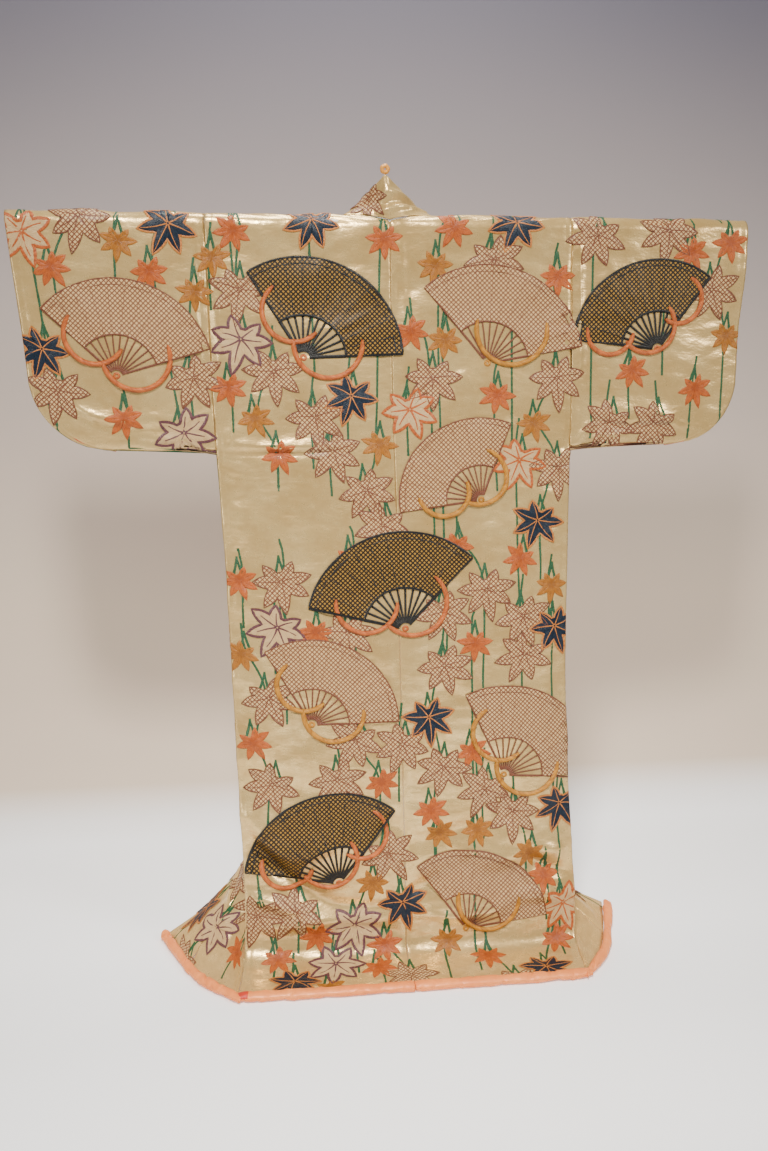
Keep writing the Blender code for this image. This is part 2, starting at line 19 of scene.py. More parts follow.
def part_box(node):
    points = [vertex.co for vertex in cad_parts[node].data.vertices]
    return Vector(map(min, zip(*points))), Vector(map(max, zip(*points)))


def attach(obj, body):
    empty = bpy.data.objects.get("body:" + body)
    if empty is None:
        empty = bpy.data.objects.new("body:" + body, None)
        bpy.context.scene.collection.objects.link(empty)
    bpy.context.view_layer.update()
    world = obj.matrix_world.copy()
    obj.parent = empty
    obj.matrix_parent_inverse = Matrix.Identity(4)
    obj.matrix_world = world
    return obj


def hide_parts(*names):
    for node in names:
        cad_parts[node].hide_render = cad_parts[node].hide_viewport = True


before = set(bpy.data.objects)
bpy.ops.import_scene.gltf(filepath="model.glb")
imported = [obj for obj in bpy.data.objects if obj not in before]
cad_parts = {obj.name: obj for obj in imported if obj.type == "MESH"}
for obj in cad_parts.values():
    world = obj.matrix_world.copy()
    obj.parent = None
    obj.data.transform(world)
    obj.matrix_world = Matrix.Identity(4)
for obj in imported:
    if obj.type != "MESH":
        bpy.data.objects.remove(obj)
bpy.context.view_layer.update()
bar_low, bar_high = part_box("stand_crossbar")
GARMENT_ZERO = Vector(((bar_low.x + bar_high.x) / 2, (bar_low.y + bar_high.y) / 2, 0.0))
print("garment's own zero", [round(v, 5) for v in GARMENT_ZERO])

# %% [markdown]
# ## Camera, floor and light
#
# The camera stands a little to the robe's left, about 1.1 m up and 1.9 m away, with a 35 mm lens that looks
# slightly down. A large pale floor that sweeps up into the background keeps the eye on the silk. Satin needs
# soft lights: one panel high in front makes the highlights on the folds, one over the shoulders brightens the
# top, and a weak one from each side opens the shadows.

# %% Camera
CAMERA_PLACE = Vector((-0.253, -1.946, 1.085))
CAMERA_PITCH_DOWN = 11.6
CAMERA_YAW_RIGHT = 7.2

lens = bpy.data.cameras.new("camera")
lens.lens = 35.0
lens.sensor_width = 36.0
camera = bpy.data.objects.new("camera", lens)
camera.location = GARMENT_ZERO + CAMERA_PLACE
camera.rotation_euler = (math.radians(90 - CAMERA_PITCH_DOWN), 0, math.radians(-CAMERA_YAW_RIGHT))
bpy.context.scene.collection.objects.link(camera)
bpy.context.scene.camera = camera


# %% Lights
def soft_panel(name, place, aim, size, watts, tint, spread):
    light = bpy.data.lights.new(name, "AREA")
    light.size = size
    light.spread = math.radians(spread)
    light.energy = watts
    light.color = tint
    panel = bpy.data.objects.new(name, light)
    panel.location = place
    panel.rotation_euler = (Vector(aim) - Vector(place)).to_track_quat("-Z", "Y").to_euler()
    bpy.context.scene.collection.objects.link(panel)


soft_panel("light_above", (-0.45, -1.80, 2.85), (0, -0.10, 0.12), 0.40, 25, (1.0, 0.965, 0.91), 72)
soft_panel("light_left", (-2.4, -1.4, 0.9), (0, 0, 0.30), 0.8, 6, (0.95, 0.97, 1.0), 110)
soft_panel("light_right", (1.9, -1.5, 1.9), (0, 0, 0.40), 0.6, 10, (1.0, 0.98, 0.95), 90)
soft_panel("light_over", (0.0, 0.48, 2.75), (0, -0.05, 0.5), 0.7, 20, (1.0, 0.98, 0.95), 110)

world = bpy.data.worlds.new("studio")
world.use_nodes = True
world.node_tree.nodes["Background"].inputs["Color"].default_value = (0.60, 0.60, 0.66, 1)
world.node_tree.nodes["Background"].inputs["Strength"].default_value = 0.15
bpy.context.scene.world = world


# %% [markdown]
# ## Small helpers for materials
#
# A material is a little machine of nodes. Short helpers keep the wiring readable: one makes a material with
# its fixed shader values, one adds a node and links what feeds it, and the others add the nodes that come
# back most often.

# %% Material helpers
def add(tree, kind, feeds=None, **settings):
    """A node, its settings, and what feeds its sockets: a value, or another node's output."""
    node = tree.nodes.new(kind)
    for key, value in settings.items():
        setattr(node, key, value)
    for socket, feed in (feeds or {}).items():
        if isinstance(feed, bpy.types.NodeSocket):
            tree.links.new(feed, node.inputs[socket])
        else:
            node.inputs[socket].default_value = feed
    return node


def new_material(name, roughness, **fixed):
    made = bpy.data.materials.new(name)
    made.use_nodes = True
    tree = made.node_tree
    shader = tree.nodes["Principled BSDF"]
    shader.inputs["Roughness"].default_value = roughness
    for socket, value in fixed.items():
        shader.inputs[socket.replace("_", " ")].default_value = value
    return made, tree, shader


def cloth_place(tree, name="cloth"):
    """Where a point lies on the flat cloth: metres across and metres down."""
    return add(tree, "ShaderNodeAttribute", attribute_name=name).outputs["Vector"]


def stretched(tree, vector, across, down):
    return add(tree, "ShaderNodeMapping", {"Vector": vector, "Scale": (across, down, 1)}).outputs["Vector"]


def new_group(name, inputs, outputs):
    """A node group: an input with no value is a vector, and every other socket is a number."""
    tree = bpy.data.node_groups.new(name, "ShaderNodeTree")
    for socket, value in inputs.items():
        kind = "NodeSocketVector" if value is None else "NodeSocketFloat"
        made = tree.interface.new_socket(name=socket, in_out="INPUT", socket_type=kind)
        if value is not None:
            made.default_value = value
    for socket in outputs:
        tree.interface.new_socket(name=socket, in_out="OUTPUT", socket_type="NodeSocketFloat")
    return tree, tree.nodes.new("NodeGroupInput"), tree.nodes.new("NodeGroupOutput")


def place_group(tree, group, feeds):
    return add(tree, "ShaderNodeGroup", feeds, node_tree=group).outputs


def mixed(tree, factor, a, b):
    """A colour between a and b; each is a fixed red, green and blue, or an output."""
    node = add(tree, "ShaderNodeMix", {"Factor": factor}, data_type="RGBA")
    for socket, feed in ((node.inputs[6], a), (node.inputs[7], b)):
        if isinstance(feed, bpy.types.NodeSocket):
            tree.links.new(feed, socket)
        else:
            socket.default_value = (*feed, 1)
    return node.outputs[2]


def maths(tree, operation, *values):
    return add(tree, "ShaderNodeMath", dict(enumerate(values)), operation=operation).outputs[0]


def noise(tree, vector, scale, detail, roughness=0.5):
    feeds = {"Vector": vector, "Scale": scale, "Detail": detail, "Roughness": roughness}
    return add(tree, "ShaderNodeTexNoise", feeds).outputs["Fac"]


def ranged(tree, value, low, high):
    """0 below low, 1 above high, and a straight rise between."""
    return add(tree, "ShaderNodeMapRange", {"Value": value, "From Min": low, "From Max": high}).outputs[0]


def bumped(tree, shader, height, distance, strength):
    bump = add(tree, "ShaderNodeBump", {"Height": height, "Distance": distance, "Strength": strength})
    tree.links.new(bump.outputs[0], shader.inputs["Normal"])


# %% [markdown]
# ## The silk's own patterns
#
# Three effects come back on many pieces, so each is built once as a node group. **Silk age** is the soft
# mottling that old satin takes on. **Threads** are fine streaks that run one way, for the weave and for satin
# stitch. **Lattice** is the crossed-line dyeing that fills many of the motifs.

# %% Group: silk age
silk_age, group_in, group_out = new_group("silk age", {"Vector": None}, ("Blotches", "Specks"))
broad = noise(silk_age, group_in.outputs[0], 7.0, 4.0, 0.6)
fine = noise(silk_age, group_in.outputs[0], 60.0, 5.0, 0.62)
silk_age.links.new(broad, group_out.inputs[0])
silk_age.links.new(fine, group_out.inputs[1])

# %% Group: threads
threads, group_in, group_out = new_group(
    "threads", {"Vector": None, "Across": 900.0, "Along": 60.0}, ("Height",)
)
split = add(threads, "ShaderNodeSeparateXYZ", {0: group_in.outputs["Vector"]})
thread_x = maths(threads, "MULTIPLY", split.outputs[0], group_in.outputs["Across"])
thread_y = maths(threads, "MULTIPLY", split.outputs[1], group_in.outputs["Along"])
joined = add(threads, "ShaderNodeCombineXYZ", {0: thread_x, 1: thread_y})
threads.links.new(noise(threads, joined.outputs[0], 1.0, 2.0), group_out.inputs[0])

# %% Group: lattice
lattice, group_in, group_out = new_group(
    "lattice", {"Vector": None, "Pitch": 0.0058, "Line": 0.20}, ("Lines",)
)
wobble = noise(lattice, group_in.outputs["Vector"], 90.0, 2.0)
shifted = maths(lattice, "MULTIPLY_ADD", wobble, 0.0016, -0.0008)
split = add(lattice, "ShaderNodeSeparateXYZ", {0: group_in.outputs["Vector"]})
lattice_lines = []
for turn in ("ADD", "SUBTRACT"):
    diagonal = maths(lattice, "ADD", maths(lattice, turn, split.outputs[0], split.outputs[1]), shifted)
    level = maths(lattice, "MULTIPLY", diagonal, 0.7071)
    cell = maths(lattice, "FRACT", maths(lattice, "DIVIDE", level, group_in.outputs["Pitch"]))
    from_line = maths(lattice, "ABSOLUTE", maths(lattice, "SUBTRACT", cell, 0.5))
    edge = maths(lattice, "SUBTRACT", group_in.outputs["Line"], from_line)
    lattice_lines.append(ranged(lattice, edge, -0.06, 0.06))
crossed = maths(lattice, "MAXIMUM", lattice_lines[0], lattice_lines[1])
lattice.links.new(crossed, group_out.inputs[0])
print("node groups", [g.name for g in bpy.data.node_groups])

# %% [markdown]
# ## Satin, lining and stitching silks
#
# Satin is smooth because its warp threads float over several wefts, so it takes broad highlights. Its colour
# is never even: it browns in blotches with age. A low roughness, a half metallic sheen and faint lengthwise
# threads in the bump give that lustre without looking like plastic. Stitching silk is streaked instead of
# blotched: its threads run along each stitch, so its streaks read the stitch's own direction. Their light and
# dark are partly the threads' own colour and partly painted sheen.


# %% Satin and lining
def silk(name, pale, middle, aged, roughness, lustre, puckers):
    made, tree, shader = new_material(name, roughness, Metallic=lustre, Specular_IOR_Level=0.5)
    place = cloth_place(tree)
    age = place_group(tree, silk_age, {"Vector": place})
    blotches = ranged(tree, age["Blotches"], 0.30, 0.72)
    specks = ranged(tree, age["Specks"], 0.35, 0.75)
    ground = mixed(tree, blotches, pale, middle)
    ground = mixed(tree, maths(tree, "MULTIPLY", specks, 0.45), ground, aged)
    tree.links.new(ground, shader.inputs["Base Color"])
    rough = maths(tree, "MULTIPLY_ADD", specks, 0.12, roughness - 0.05)
    tree.links.new(rough, shader.inputs["Roughness"])
    warp = place_group(tree, threads, {"Vector": place, "Across": 1100.0, "Along": 90.0})["Height"]
    soft = noise(tree, stretched(tree, place, 34.0, 62.0), 1.0, 3.0)
    height = maths(tree, "MULTIPLY_ADD", warp, 0.05, maths(tree, "MULTIPLY", soft, puckers))
    bumped(tree, shader, height, 0.0030, 0.60)
    return made


SATIN = silk("ivory satin", (0.80, 0.575, 0.24), (0.60, 0.39, 0.135), (0.36, 0.20, 0.055), 0.30, 0.50, 0.9)
LINING = silk(
    "red lining silk", (0.62, 0.04, 0.012), (0.50, 0.025, 0.008), (0.30, 0.012, 0.004), 0.50, 0.0, 0.5
)
SALMON = silk(
    "salmon hem silk", (0.94, 0.32, 0.085), (0.86, 0.23, 0.048), (0.58, 0.11, 0.018), 0.46, 0.06, 1.2
)
GOLD_LOOP = silk(
    "gold loop silk", (0.80, 0.36, 0.05), (0.62, 0.24, 0.025), (0.36, 0.12, 0.01), 0.42, 0.1, 0.8
)


# %% Stitching silks
def stitched(name, light, dark, roughness=0.42, twist=0.0):
    """Silk threads laid side by side: fine streaks across the stitch's own direction, partly painted sheen.
    """
    made, tree, shader = new_material(name, roughness, Specular_IOR_Level=0.35)
    place = cloth_place(tree, "thread")
    if twist:
        place = add(tree, "ShaderNodeMapping", {"Vector": place, "Rotation": (0, 0, twist)}).outputs["Vector"]
    streak = place_group(tree, threads, {"Vector": place, "Across": 1300.0, "Along": 90.0})["Height"]
    wide = noise(tree, stretched(tree, place, 260.0, 40.0), 1.0, 2.0)
    # The streaks' light and dark are partly the threads' own colour and partly painted sheen.
    tone_and_sheen = maths(tree, "MULTIPLY_ADD", streak, 0.5, maths(tree, "MULTIPLY", wide, 0.6))
    tone_and_sheen = ranged(tree, tone_and_sheen, 0.42, 0.68)
    tree.links.new(mixed(tree, tone_and_sheen, dark, light), shader.inputs["Base Color"])
    bumped(tree, shader, streak, 0.0012, 0.7)
    return made


ORANGE = stitched("orange silk", (0.50, 0.115, 0.016), (0.23, 0.038, 0.004))
OCHRE = stitched("ochre silk", (0.42, 0.155, 0.014), (0.18, 0.055, 0.004))
NAVY = stitched("navy silk", (0.004, 0.016, 0.033), (0.001, 0.003, 0.008))
EDGE_GOLD = stitched("gold-orange silk", (0.56, 0.20, 0.034), (0.30, 0.085, 0.010))
BROWN = stitched("brown silk", (0.185, 0.058, 0.025), (0.095, 0.026, 0.011))
PURPLE = stitched("purple silk", (0.140, 0.048, 0.052), (0.060, 0.018, 0.022))
GREEN = stitched("green silk", (0.018, 0.100, 0.034), (0.006, 0.040, 0.014))
BLACK = stitched("black silk", (0.010, 0.009, 0.007), (0.003, 0.003, 0.002))
CREAM = stitched("cream silk", (0.55, 0.37, 0.18), (0.42, 0.26, 0.105))
CORD_ORANGE = stitched("orange cord silk", (0.54, 0.135, 0.026), (0.27, 0.052, 0.009), 0.45, 0.9)
CORD_GOLD = stitched("gold cord silk", (0.52, 0.225, 0.020), (0.27, 0.095, 0.006), 0.45, 0.9)


# %% Lattice-dyed silks
def lattice_dyed(name, ground, ground_dark, line, pitch, width, roughness):
    made, tree, shader = new_material(name, roughness, Specular_IOR_Level=0.35)
    place = cloth_place(tree)
    lines = place_group(tree, lattice, {"Vector": place, "Pitch": pitch, "Line": width})["Lines"]
    age = place_group(tree, silk_age, {"Vector": place})
    under = mixed(tree, age["Specks"], ground, ground_dark)
    tree.links.new(mixed(tree, lines, under, line), shader.inputs["Base Color"])
    lifted = maths(tree, "MULTIPLY_ADD", lines, -0.5, age["Specks"])
    bumped(tree, shader, lifted, 0.0004, 0.5)
    return made


BROWN_LATTICE = lattice_dyed(
    "brown lattice", (0.66, 0.46, 0.22), (0.44, 0.27, 0.105), (0.155, 0.050, 0.021), 0.0058, 0.165, 0.46
)
BLACK_LATTICE = lattice_dyed(
    "black lattice", (0.40, 0.215, 0.026), (0.21, 0.10, 0.010), (0.007, 0.005, 0.003), 0.0058, 0.225, 0.5
)
print("materials", len(bpy.data.materials))

# %% [markdown]
# ## How the garment hangs
#
# The solids were made from a few sizes and tables: how the back falls, where the fronts' free edges run, how
# deep the largest folds are. The same sizes are used again here, with far more rows and columns, so that the
# fine cloth lies exactly where the plain solid does.

# %% Sizes
WALL = 0.0024
COLLAR_WALL = 0.0030
SEAM_GAP = 0.0003
SEAM_SPACE = 0.0008
COLLAR_STANDOFF = 0.0016
COLLAR_KINK_STANDOFF = 0.0024
LAYER_PITCH = WALL + 2 * SEAM_GAP
BAR_RADIUS = 0.0175
REST_GAP = 0.0010
SHOULDER_HEIGHT = 1.300
HEM_DOWN = 1.430
SLEEVE_DROP = 0.408
SLEEVE_CORNER = 0.118
SLEEVE_SIZES = {"left": (0.3168, 0.056), "right": (0.3148, 0.022)}
NECK_HALF = 0.073
NECK_DIP = 0.020
COLLAR_TURNS = (0.0, 0.16)
SEAM_TURNS = (1.16, 1.30)
SECTION_SOFTENS = (0.10, 0.55)
SLEEVE_CLOSES = (0.08, 0.220)
SLEEVE_CLOSES_ACROSS = (0.62, 1.0)
COLLAR_WIDTH = 0.065
COLLAR_END = 0.605
COLLAR_FREE = COLLAR_END + 0.005
OKUMI_TIP = 0.250
OKUMI_AT_COLLAR_END = 0.052
OKUMI_WIDTH = 0.117
OKUMI_TIP_SHARE = 0.06
BODY_WIDTH = 0.30
COLLAR_APEX = (-0.0070, -0.0110, 1.3630)
LOOP_ACROSS = 0.0168
LOOP_THICKNESS = 0.0068
ROLL_DEPTH = 0.023
ROLL_HEIGHT = 0.015
HUG_RADIUS = BAR_RADIUS + REST_GAP + WALL / 2
BAR_Z = SHOULDER_HEIGHT - WALL / 2 - HUG_RADIUS
HUG_DOWN = HUG_RADIUS * math.pi / 2
CURVE_STEPS = 12
SECTION_STEPS = 32
OUTWARD = {"left": -1, "right": 1}

# %% Tables: the back's fall, the back's edges, and the fronts
BACK_FALL = (
    (-0.0200, 1.230),
    (-0.0235, 1.130),
    (-0.0340, 0.950),
    (-0.0500, 0.700),
    (-0.0690, 0.450),
    (-0.0875, 0.220),
    (-0.1000, 0.100),
    (-0.1070, 0.050),
    (-0.1140, 0.0240),
    (-0.1300, 0.0085),
    (-0.1600, 0.0040),
    (-0.2120, 0.0026),
)
BACK_COLUMNS = ("down", "left", "centre", "right", "forward")
BACK_ROWS = (
    (0.000, -0.306, 0.000, 0.312, 0.000),
    (0.408, -0.297, 0.006, 0.320, 0.014),
    (0.610, -0.287, 0.012, 0.320, 0.018),
    (0.800, -0.281, 0.014, 0.319, 0.020),
    (1.000, -0.275, 0.017, 0.325, 0.020),
    (1.150, -0.270, 0.019, 0.333, 0.018),
    (1.270, -0.268, 0.020, 0.338, 0.010),
    (1.350, -0.274, 0.019, 0.334, 0.006),
    (1.430, -0.284, 0.018, 0.328, 0.004),
)
FRONT_COLUMNS = ("down", "knee_x", "knee_y", "knee_z", "edge_x", "edge_y", "edge_z", "inward")
FRONT_ROWS = {
    "left": (
        (0.000, -0.073, 0.019, 1.2797, -0.047, 0.052, 1.320, 0.000),
        (0.030, -0.073, 0.019, 1.2797, -0.038, 0.068, 1.292, 0.000),
        (0.100, -0.068, 0.034, 1.2090, -0.030, 0.080, 1.220, 0.000),
        (0.230, -0.060, 0.055, 1.0790, -0.020, 0.092, 1.085, 0.002),
        (0.400, -0.062, 0.078, 0.9050, -0.014, 0.104, 0.910, 0.004),
        (0.610, -0.090, 0.105, 0.6950, -0.022, 0.110, 0.700, 0.010),
        (0.850, -0.150, 0.132, 0.4550, -0.076, 0.138, 0.462, 0.022),
        (1.050, -0.215, 0.120, 0.2650, -0.140, 0.178, 0.278, 0.032),
        (1.200, -0.258, 0.085, 0.1250, -0.212, 0.178, 0.145, 0.042),
        (1.300, -0.305, 0.038, 0.0450, -0.284, 0.135, 0.060, 0.026),
        (1.370, -0.360, -0.003, 0.0110, -0.350, 0.082, 0.015, 0.010),
        (1.430, -0.388, -0.050, 0.0026, -0.412, 0.018, 0.0026, -0.013),
    ),
    "right": (
        (0.000, 0.073, 0.019, 1.2797, 0.047, 0.052, 1.320, 0.000),
        (0.030, 0.073, 0.019, 1.2797, 0.038, 0.068, 1.292, 0.000),
        (0.100, 0.068, 0.034, 1.2090, 0.030, 0.080, 1.220, 0.000),
        (0.230, 0.060, 0.055, 1.0790, 0.020, 0.092, 1.085, 0.002),
        (0.400, 0.064, 0.080, 0.9050, 0.014, 0.104, 0.910, 0.004),
        (0.610, 0.098, 0.110, 0.6950, 0.026, 0.112, 0.700, 0.012),
        (0.850, 0.170, 0.140, 0.4550, 0.094, 0.142, 0.462, 0.024),
        (1.050, 0.245, 0.128, 0.2600, 0.165, 0.178, 0.275, 0.034),
        (1.200, 0.300, 0.088, 0.1150, 0.240, 0.172, 0.135, 0.042),
        (1.300, 0.350, 0.035, 0.0320, 0.315, 0.132, 0.042, 0.024),
        (1.370, 0.390, -0.003, 0.0090, 0.375, 0.085, 0.012, 0.008),
        (1.430, 0.408, -0.055, 0.0026, 0.432, 0.030, 0.0026, -0.010),
    ),
}


# %% Curves through the tables
def ease(low, high, value):
    """0 below low, 1 above high, and a smooth step between."""
    t = min(max((value - low) / (high - low), 0.0), 1.0)
    return t * t * (3 - 2 * t)


def smooth_rows(rows, key, column):
    """One column of a table at a key between its rows, on a smooth curve through them."""
    keys = [row[0] for row in rows]
    key = min(max(key, keys[0]), keys[-1])
    i = max(k for k in range(len(keys) - 1) if keys[k] <= key)
    slopes = []
    for k in (i, i + 1):
        low, high = max(k - 1, 0), min(k + 1, len(rows) - 1)
        before = (rows[k][column] - rows[low][column]) / (keys[k] - keys[low]) if k > low else None
        after = (rows[high][column] - rows[k][column]) / (keys[high] - keys[k]) if high > k else None
        if before is None or after is None:
            slopes.append(before if after is None else after)
        else:
            near, far = keys[k] - keys[low], keys[high] - keys[k]
            slopes.append((before * far + after * near) / (near + far))
    span = keys[i + 1] - keys[i]
    t = (key - keys[i]) / span
    start, end = rows[i][column], rows[i + 1][column]
    return (
        (2 * t**3 - 3 * t**2 + 1) * start
        + (t**3 - 2 * t**2 + t) * span * slopes[0]
        + (3 * t**2 - 2 * t**3) * end
        + (t**3 - t**2) * span * slopes[1]
    )


def from_table(rows, columns, key, *names):
    return [smooth_rows(rows, key, columns.index(name)) for name in names]


def measured(points):
    """The points with the distance run to each."""
    runs = [0.0]
    for a, b in zip(points, points[1:]):
        runs.append(runs[-1] + (b - a).length)
    return runs, points


def along(path, run):
    """The point at a distance along a measured path."""
    runs, points = path
    run = min(max(run, 0.0), runs[-1])
    i = min(max(bisect_right(runs, run) - 1, 0), len(runs) - 2)
    return points[i].lerp(points[i + 1], (run - runs[i]) / (runs[i + 1] - runs[i]))


def spline(points, steps):
    """Points on a smooth curve through the given ones."""
    made = []
    ends = [2 * points[0] - points[1], *points, 2 * points[-1] - points[-2]]
    for i in range(1, len(ends) - 2):
        p0, p1, p2, p3 = ends[i - 1 : i + 3]
        for k in range(steps):
            t = k / steps
            square = (2 * p0 - 5 * p1 + 4 * p2 - p3) * t**2
            cube = (3 * p1 - p0 - 3 * p2 + p3) * t**3
            made.append(0.5 * (2 * p1 + (p2 - p0) * t + square + cube))
    made.append(points[-1].copy())
    return made


# %% The back, row by row
def hug(down):
    """y and z of cloth that lies on the crossbar."""
    angle = down / HUG_RADIUS
    return HUG_RADIUS * math.sin(angle), BAR_Z + HUG_RADIUS * math.cos(angle)


fall = [Vector((0, -HUG_RADIUS, BAR_Z)), *(Vector((0, y, z)) for y, z in BACK_FALL)]
BACK_PATH = measured(spline(fall, CURVE_STEPS))


def back_line(down):
    """y and z of the back's middle line."""
    if down <= HUG_DOWN:
        y, z = hug(down)
        return -y, z
    share = (down - HUG_DOWN) / (HEM_DOWN - HUG_DOWN)
    point = along(BACK_PATH, share * BACK_PATH[0][-1])
    return point.y, point.z


def half_parting(down):
    """Half the space between a sleeve's front and back at its armhole."""
    closed = LAYER_PITCH / 2
    if down <= HUG_DOWN:
        return hug(down)[0]
    t = min((down - HUG_DOWN) / (SLEEVE_DROP - HUG_DOWN), 1.0)
    return closed + (HUG_RADIUS - closed) * (1 - t**1.6)


def side_middle(side, down):
    """The middle of the side seam, or of the armhole above it."""
    x, forward = from_table(BACK_ROWS, BACK_COLUMNS, down, side, "forward")
    y, z = back_line(down)
    if down <= HUG_DOWN:
        return Vector((x, 0.0, z))
    return Vector((x, (y + forward) * ease(HUG_DOWN, SLEEVE_DROP, down), z))


def side_layer(side, down, layer):
    """The edge of the back (layer -1) or the front (layer 1) along the armhole and the side seam."""
    middle = side_middle(side, down)
    if down <= SLEEVE_DROP:
        return middle + Vector((0, layer * half_parting(down), 0))
    outward = OUTWARD[side]
    turned = ease(*SEAM_TURNS, down)
    turn = turned * math.pi / 2
    apart = Vector((outward * math.sin(turn), math.cos(turn), 0))
    return middle + apart * (layer * LAYER_PITCH / 2 * (1 - 0.85 * turned))


def back_row(side, shares, down):
    neck = NECK_HALF * max(0.0, 1 - down / NECK_DIP)
    (centre,) = from_table(BACK_ROWS, BACK_COLUMNS, down, "centre")
    outward = OUTWARD[side]
    inner = centre + outward * (SEAM_GAP / 2 + neck)
    edge = side_layer(side, down, -1)
    y, z = back_line(down)
    row = []
    for share in shares:
        turned = max(0.0, (share - 0.55) / 0.45) ** 2
        x = inner + (edge.x - inner) * share
        row.append(Vector((x, y + (edge.y - y) * turned, z + (edge.z - z) * turned)))
    return row


# %% The fronts, row by row
def front_section(side, down):
    """The section of one front, from the side seam to the free edge, as a measured path."""
    rows = FRONT_ROWS[side]
    outward = OUTWARD[side]
    start = side_layer(side, down, 1)
    knee = Vector(from_table(rows, FRONT_COLUMNS, down, "knee_x", "knee_y", "knee_z"))
    if down <= HUG_DOWN:
        knee = Vector((knee.x, *hug(down)))
    edge = Vector(from_table(rows, FRONT_COLUMNS, down, "edge_x", "edge_y", "edge_z"))
    (inward,) = from_table(rows, FRONT_COLUMNS, down, "inward")
    run = knee - start
    in_direction = Vector((-run.y * outward, run.x * outward, 0)).normalized()
    fold = start.lerp(knee, 0.5) + in_direction * inward
    straight = measured([start, fold, knee, edge])
    curved = measured(spline([start, fold, knee, edge], CURVE_STEPS))
    softness = ease(*SECTION_SOFTENS, down)
    blend = []
    for k in range(SECTION_STEPS + 1):
        part = k / SECTION_STEPS
        a = along(straight, part * straight[0][-1])
        blend.append(a.lerp(along(curved, part * curved[0][-1]), softness))
    return measured(blend)


SECTIONS = {}


def section(side, down):
    key = (side, round(down, 6))
    if key not in SECTIONS:
        SECTIONS[key] = front_section(side, down)
    return SECTIONS[key]


def okumi_reach(down):
    if down > COLLAR_FREE:
        return OKUMI_WIDTH
    return OKUMI_AT_COLLAR_END * max(OKUMI_TIP_SHARE, (down - OKUMI_TIP) / (COLLAR_END - OKUMI_TIP))


def body_reach(side, down):
    total = section(side, down)[0][-1]
    if down < OKUMI_TIP:
        return total - COLLAR_WIDTH - SEAM_SPACE
    collar = COLLAR_WIDTH if down <= COLLAR_FREE else 0.0
    return total - collar - okumi_reach(down) - SEAM_SPACE / 2


def body_row(side, shares, down):
    """A body panel's row: negative down is the back, positive the front."""
    if down <= 0:
        return back_row(side, shares, -down)
    path, reach = section(side, down), body_reach(side, down)
    return [along(path, (1 - share) * reach) for share in shares]


def okumi_row(side, shares, down):
    path = section(side, down)
    start = body_reach(side, down) + SEAM_SPACE
    end = path[0][-1] - (COLLAR_WIDTH + SEAM_SPACE if down <= COLLAR_FREE else 0.0)
    return [along(path, start + (end - start) * share) for share in shares]


# %% The sleeves and the collar
def sleeve_reach(side, down):
    """How far the sleeve runs out from its seam, with the round lower corner."""
    width, lean = SLEEVE_SIZES[side]
    reach = width - lean * down
    into_corner = down - (SLEEVE_DROP - SLEEVE_CORNER)
    if into_corner > 0:
        reach -= SLEEVE_CORNER - math.sqrt(max(SLEEVE_CORNER**2 - into_corner**2, 0.0))
    return reach


def sleeve_row(side, shares, down):
    outward = OUTWARD[side]
    depth = abs(down)
    layer = -1 if down < 0 else 1
    seam = side_middle(side, depth)
    closed = LAYER_PITCH / 2
    row = []
    for share in shares:
        parting = half_parting(depth)
        closing = ease(*SLEEVE_CLOSES, depth) * ease(*SLEEVE_CLOSES_ACROSS, share)
        if depth > HUG_DOWN:
            parting = closed + (parting - closed) * (1 - closing)
        x = seam.x + outward * (SEAM_GAP + share * sleeve_reach(side, depth))
        row.append(Vector((x, seam.y * (1 - 0.7 * share) + layer * parting, seam.z)))
    return row


def collar_ends(side, run):
    """The seam point and the free-edge point of the collar, at a run from the centre back."""
    outward = OUTWARD[side]
    if run >= NECK_HALF:
        down = run - NECK_HALF
        path = section(side, down)
        total = path[0][-1]
        standoff = COLLAR_STANDOFF + COLLAR_KINK_STANDOFF * (1 - ease(*COLLAR_TURNS, down))
        return along(path, total - COLLAR_WIDTH + standoff), along(path, total)
    t = run / NECK_HALF
    y, z = hug(NECK_DIP * (1 - t))
    seam = Vector((outward * NECK_HALF * t, -y, z))
    path = section(side, 0.0)
    edge_at_neck = along(path, path[0][-1])
    apex = Vector(COLLAR_APEX)
    edge = apex.lerp(edge_at_neck, t)
    edge.y = apex.y + (edge_at_neck.y - apex.y) * t**1.5
    standoff = COLLAR_KINK_STANDOFF + COLLAR_STANDOFF * t
    return seam + (edge - seam).normalized() * standoff, edge


def collar_row(side, shares, run):
    seam, edge = collar_ends("left" if run < 0 else "right", abs(run))
    return [seam.lerp(edge, share) for share in shares]
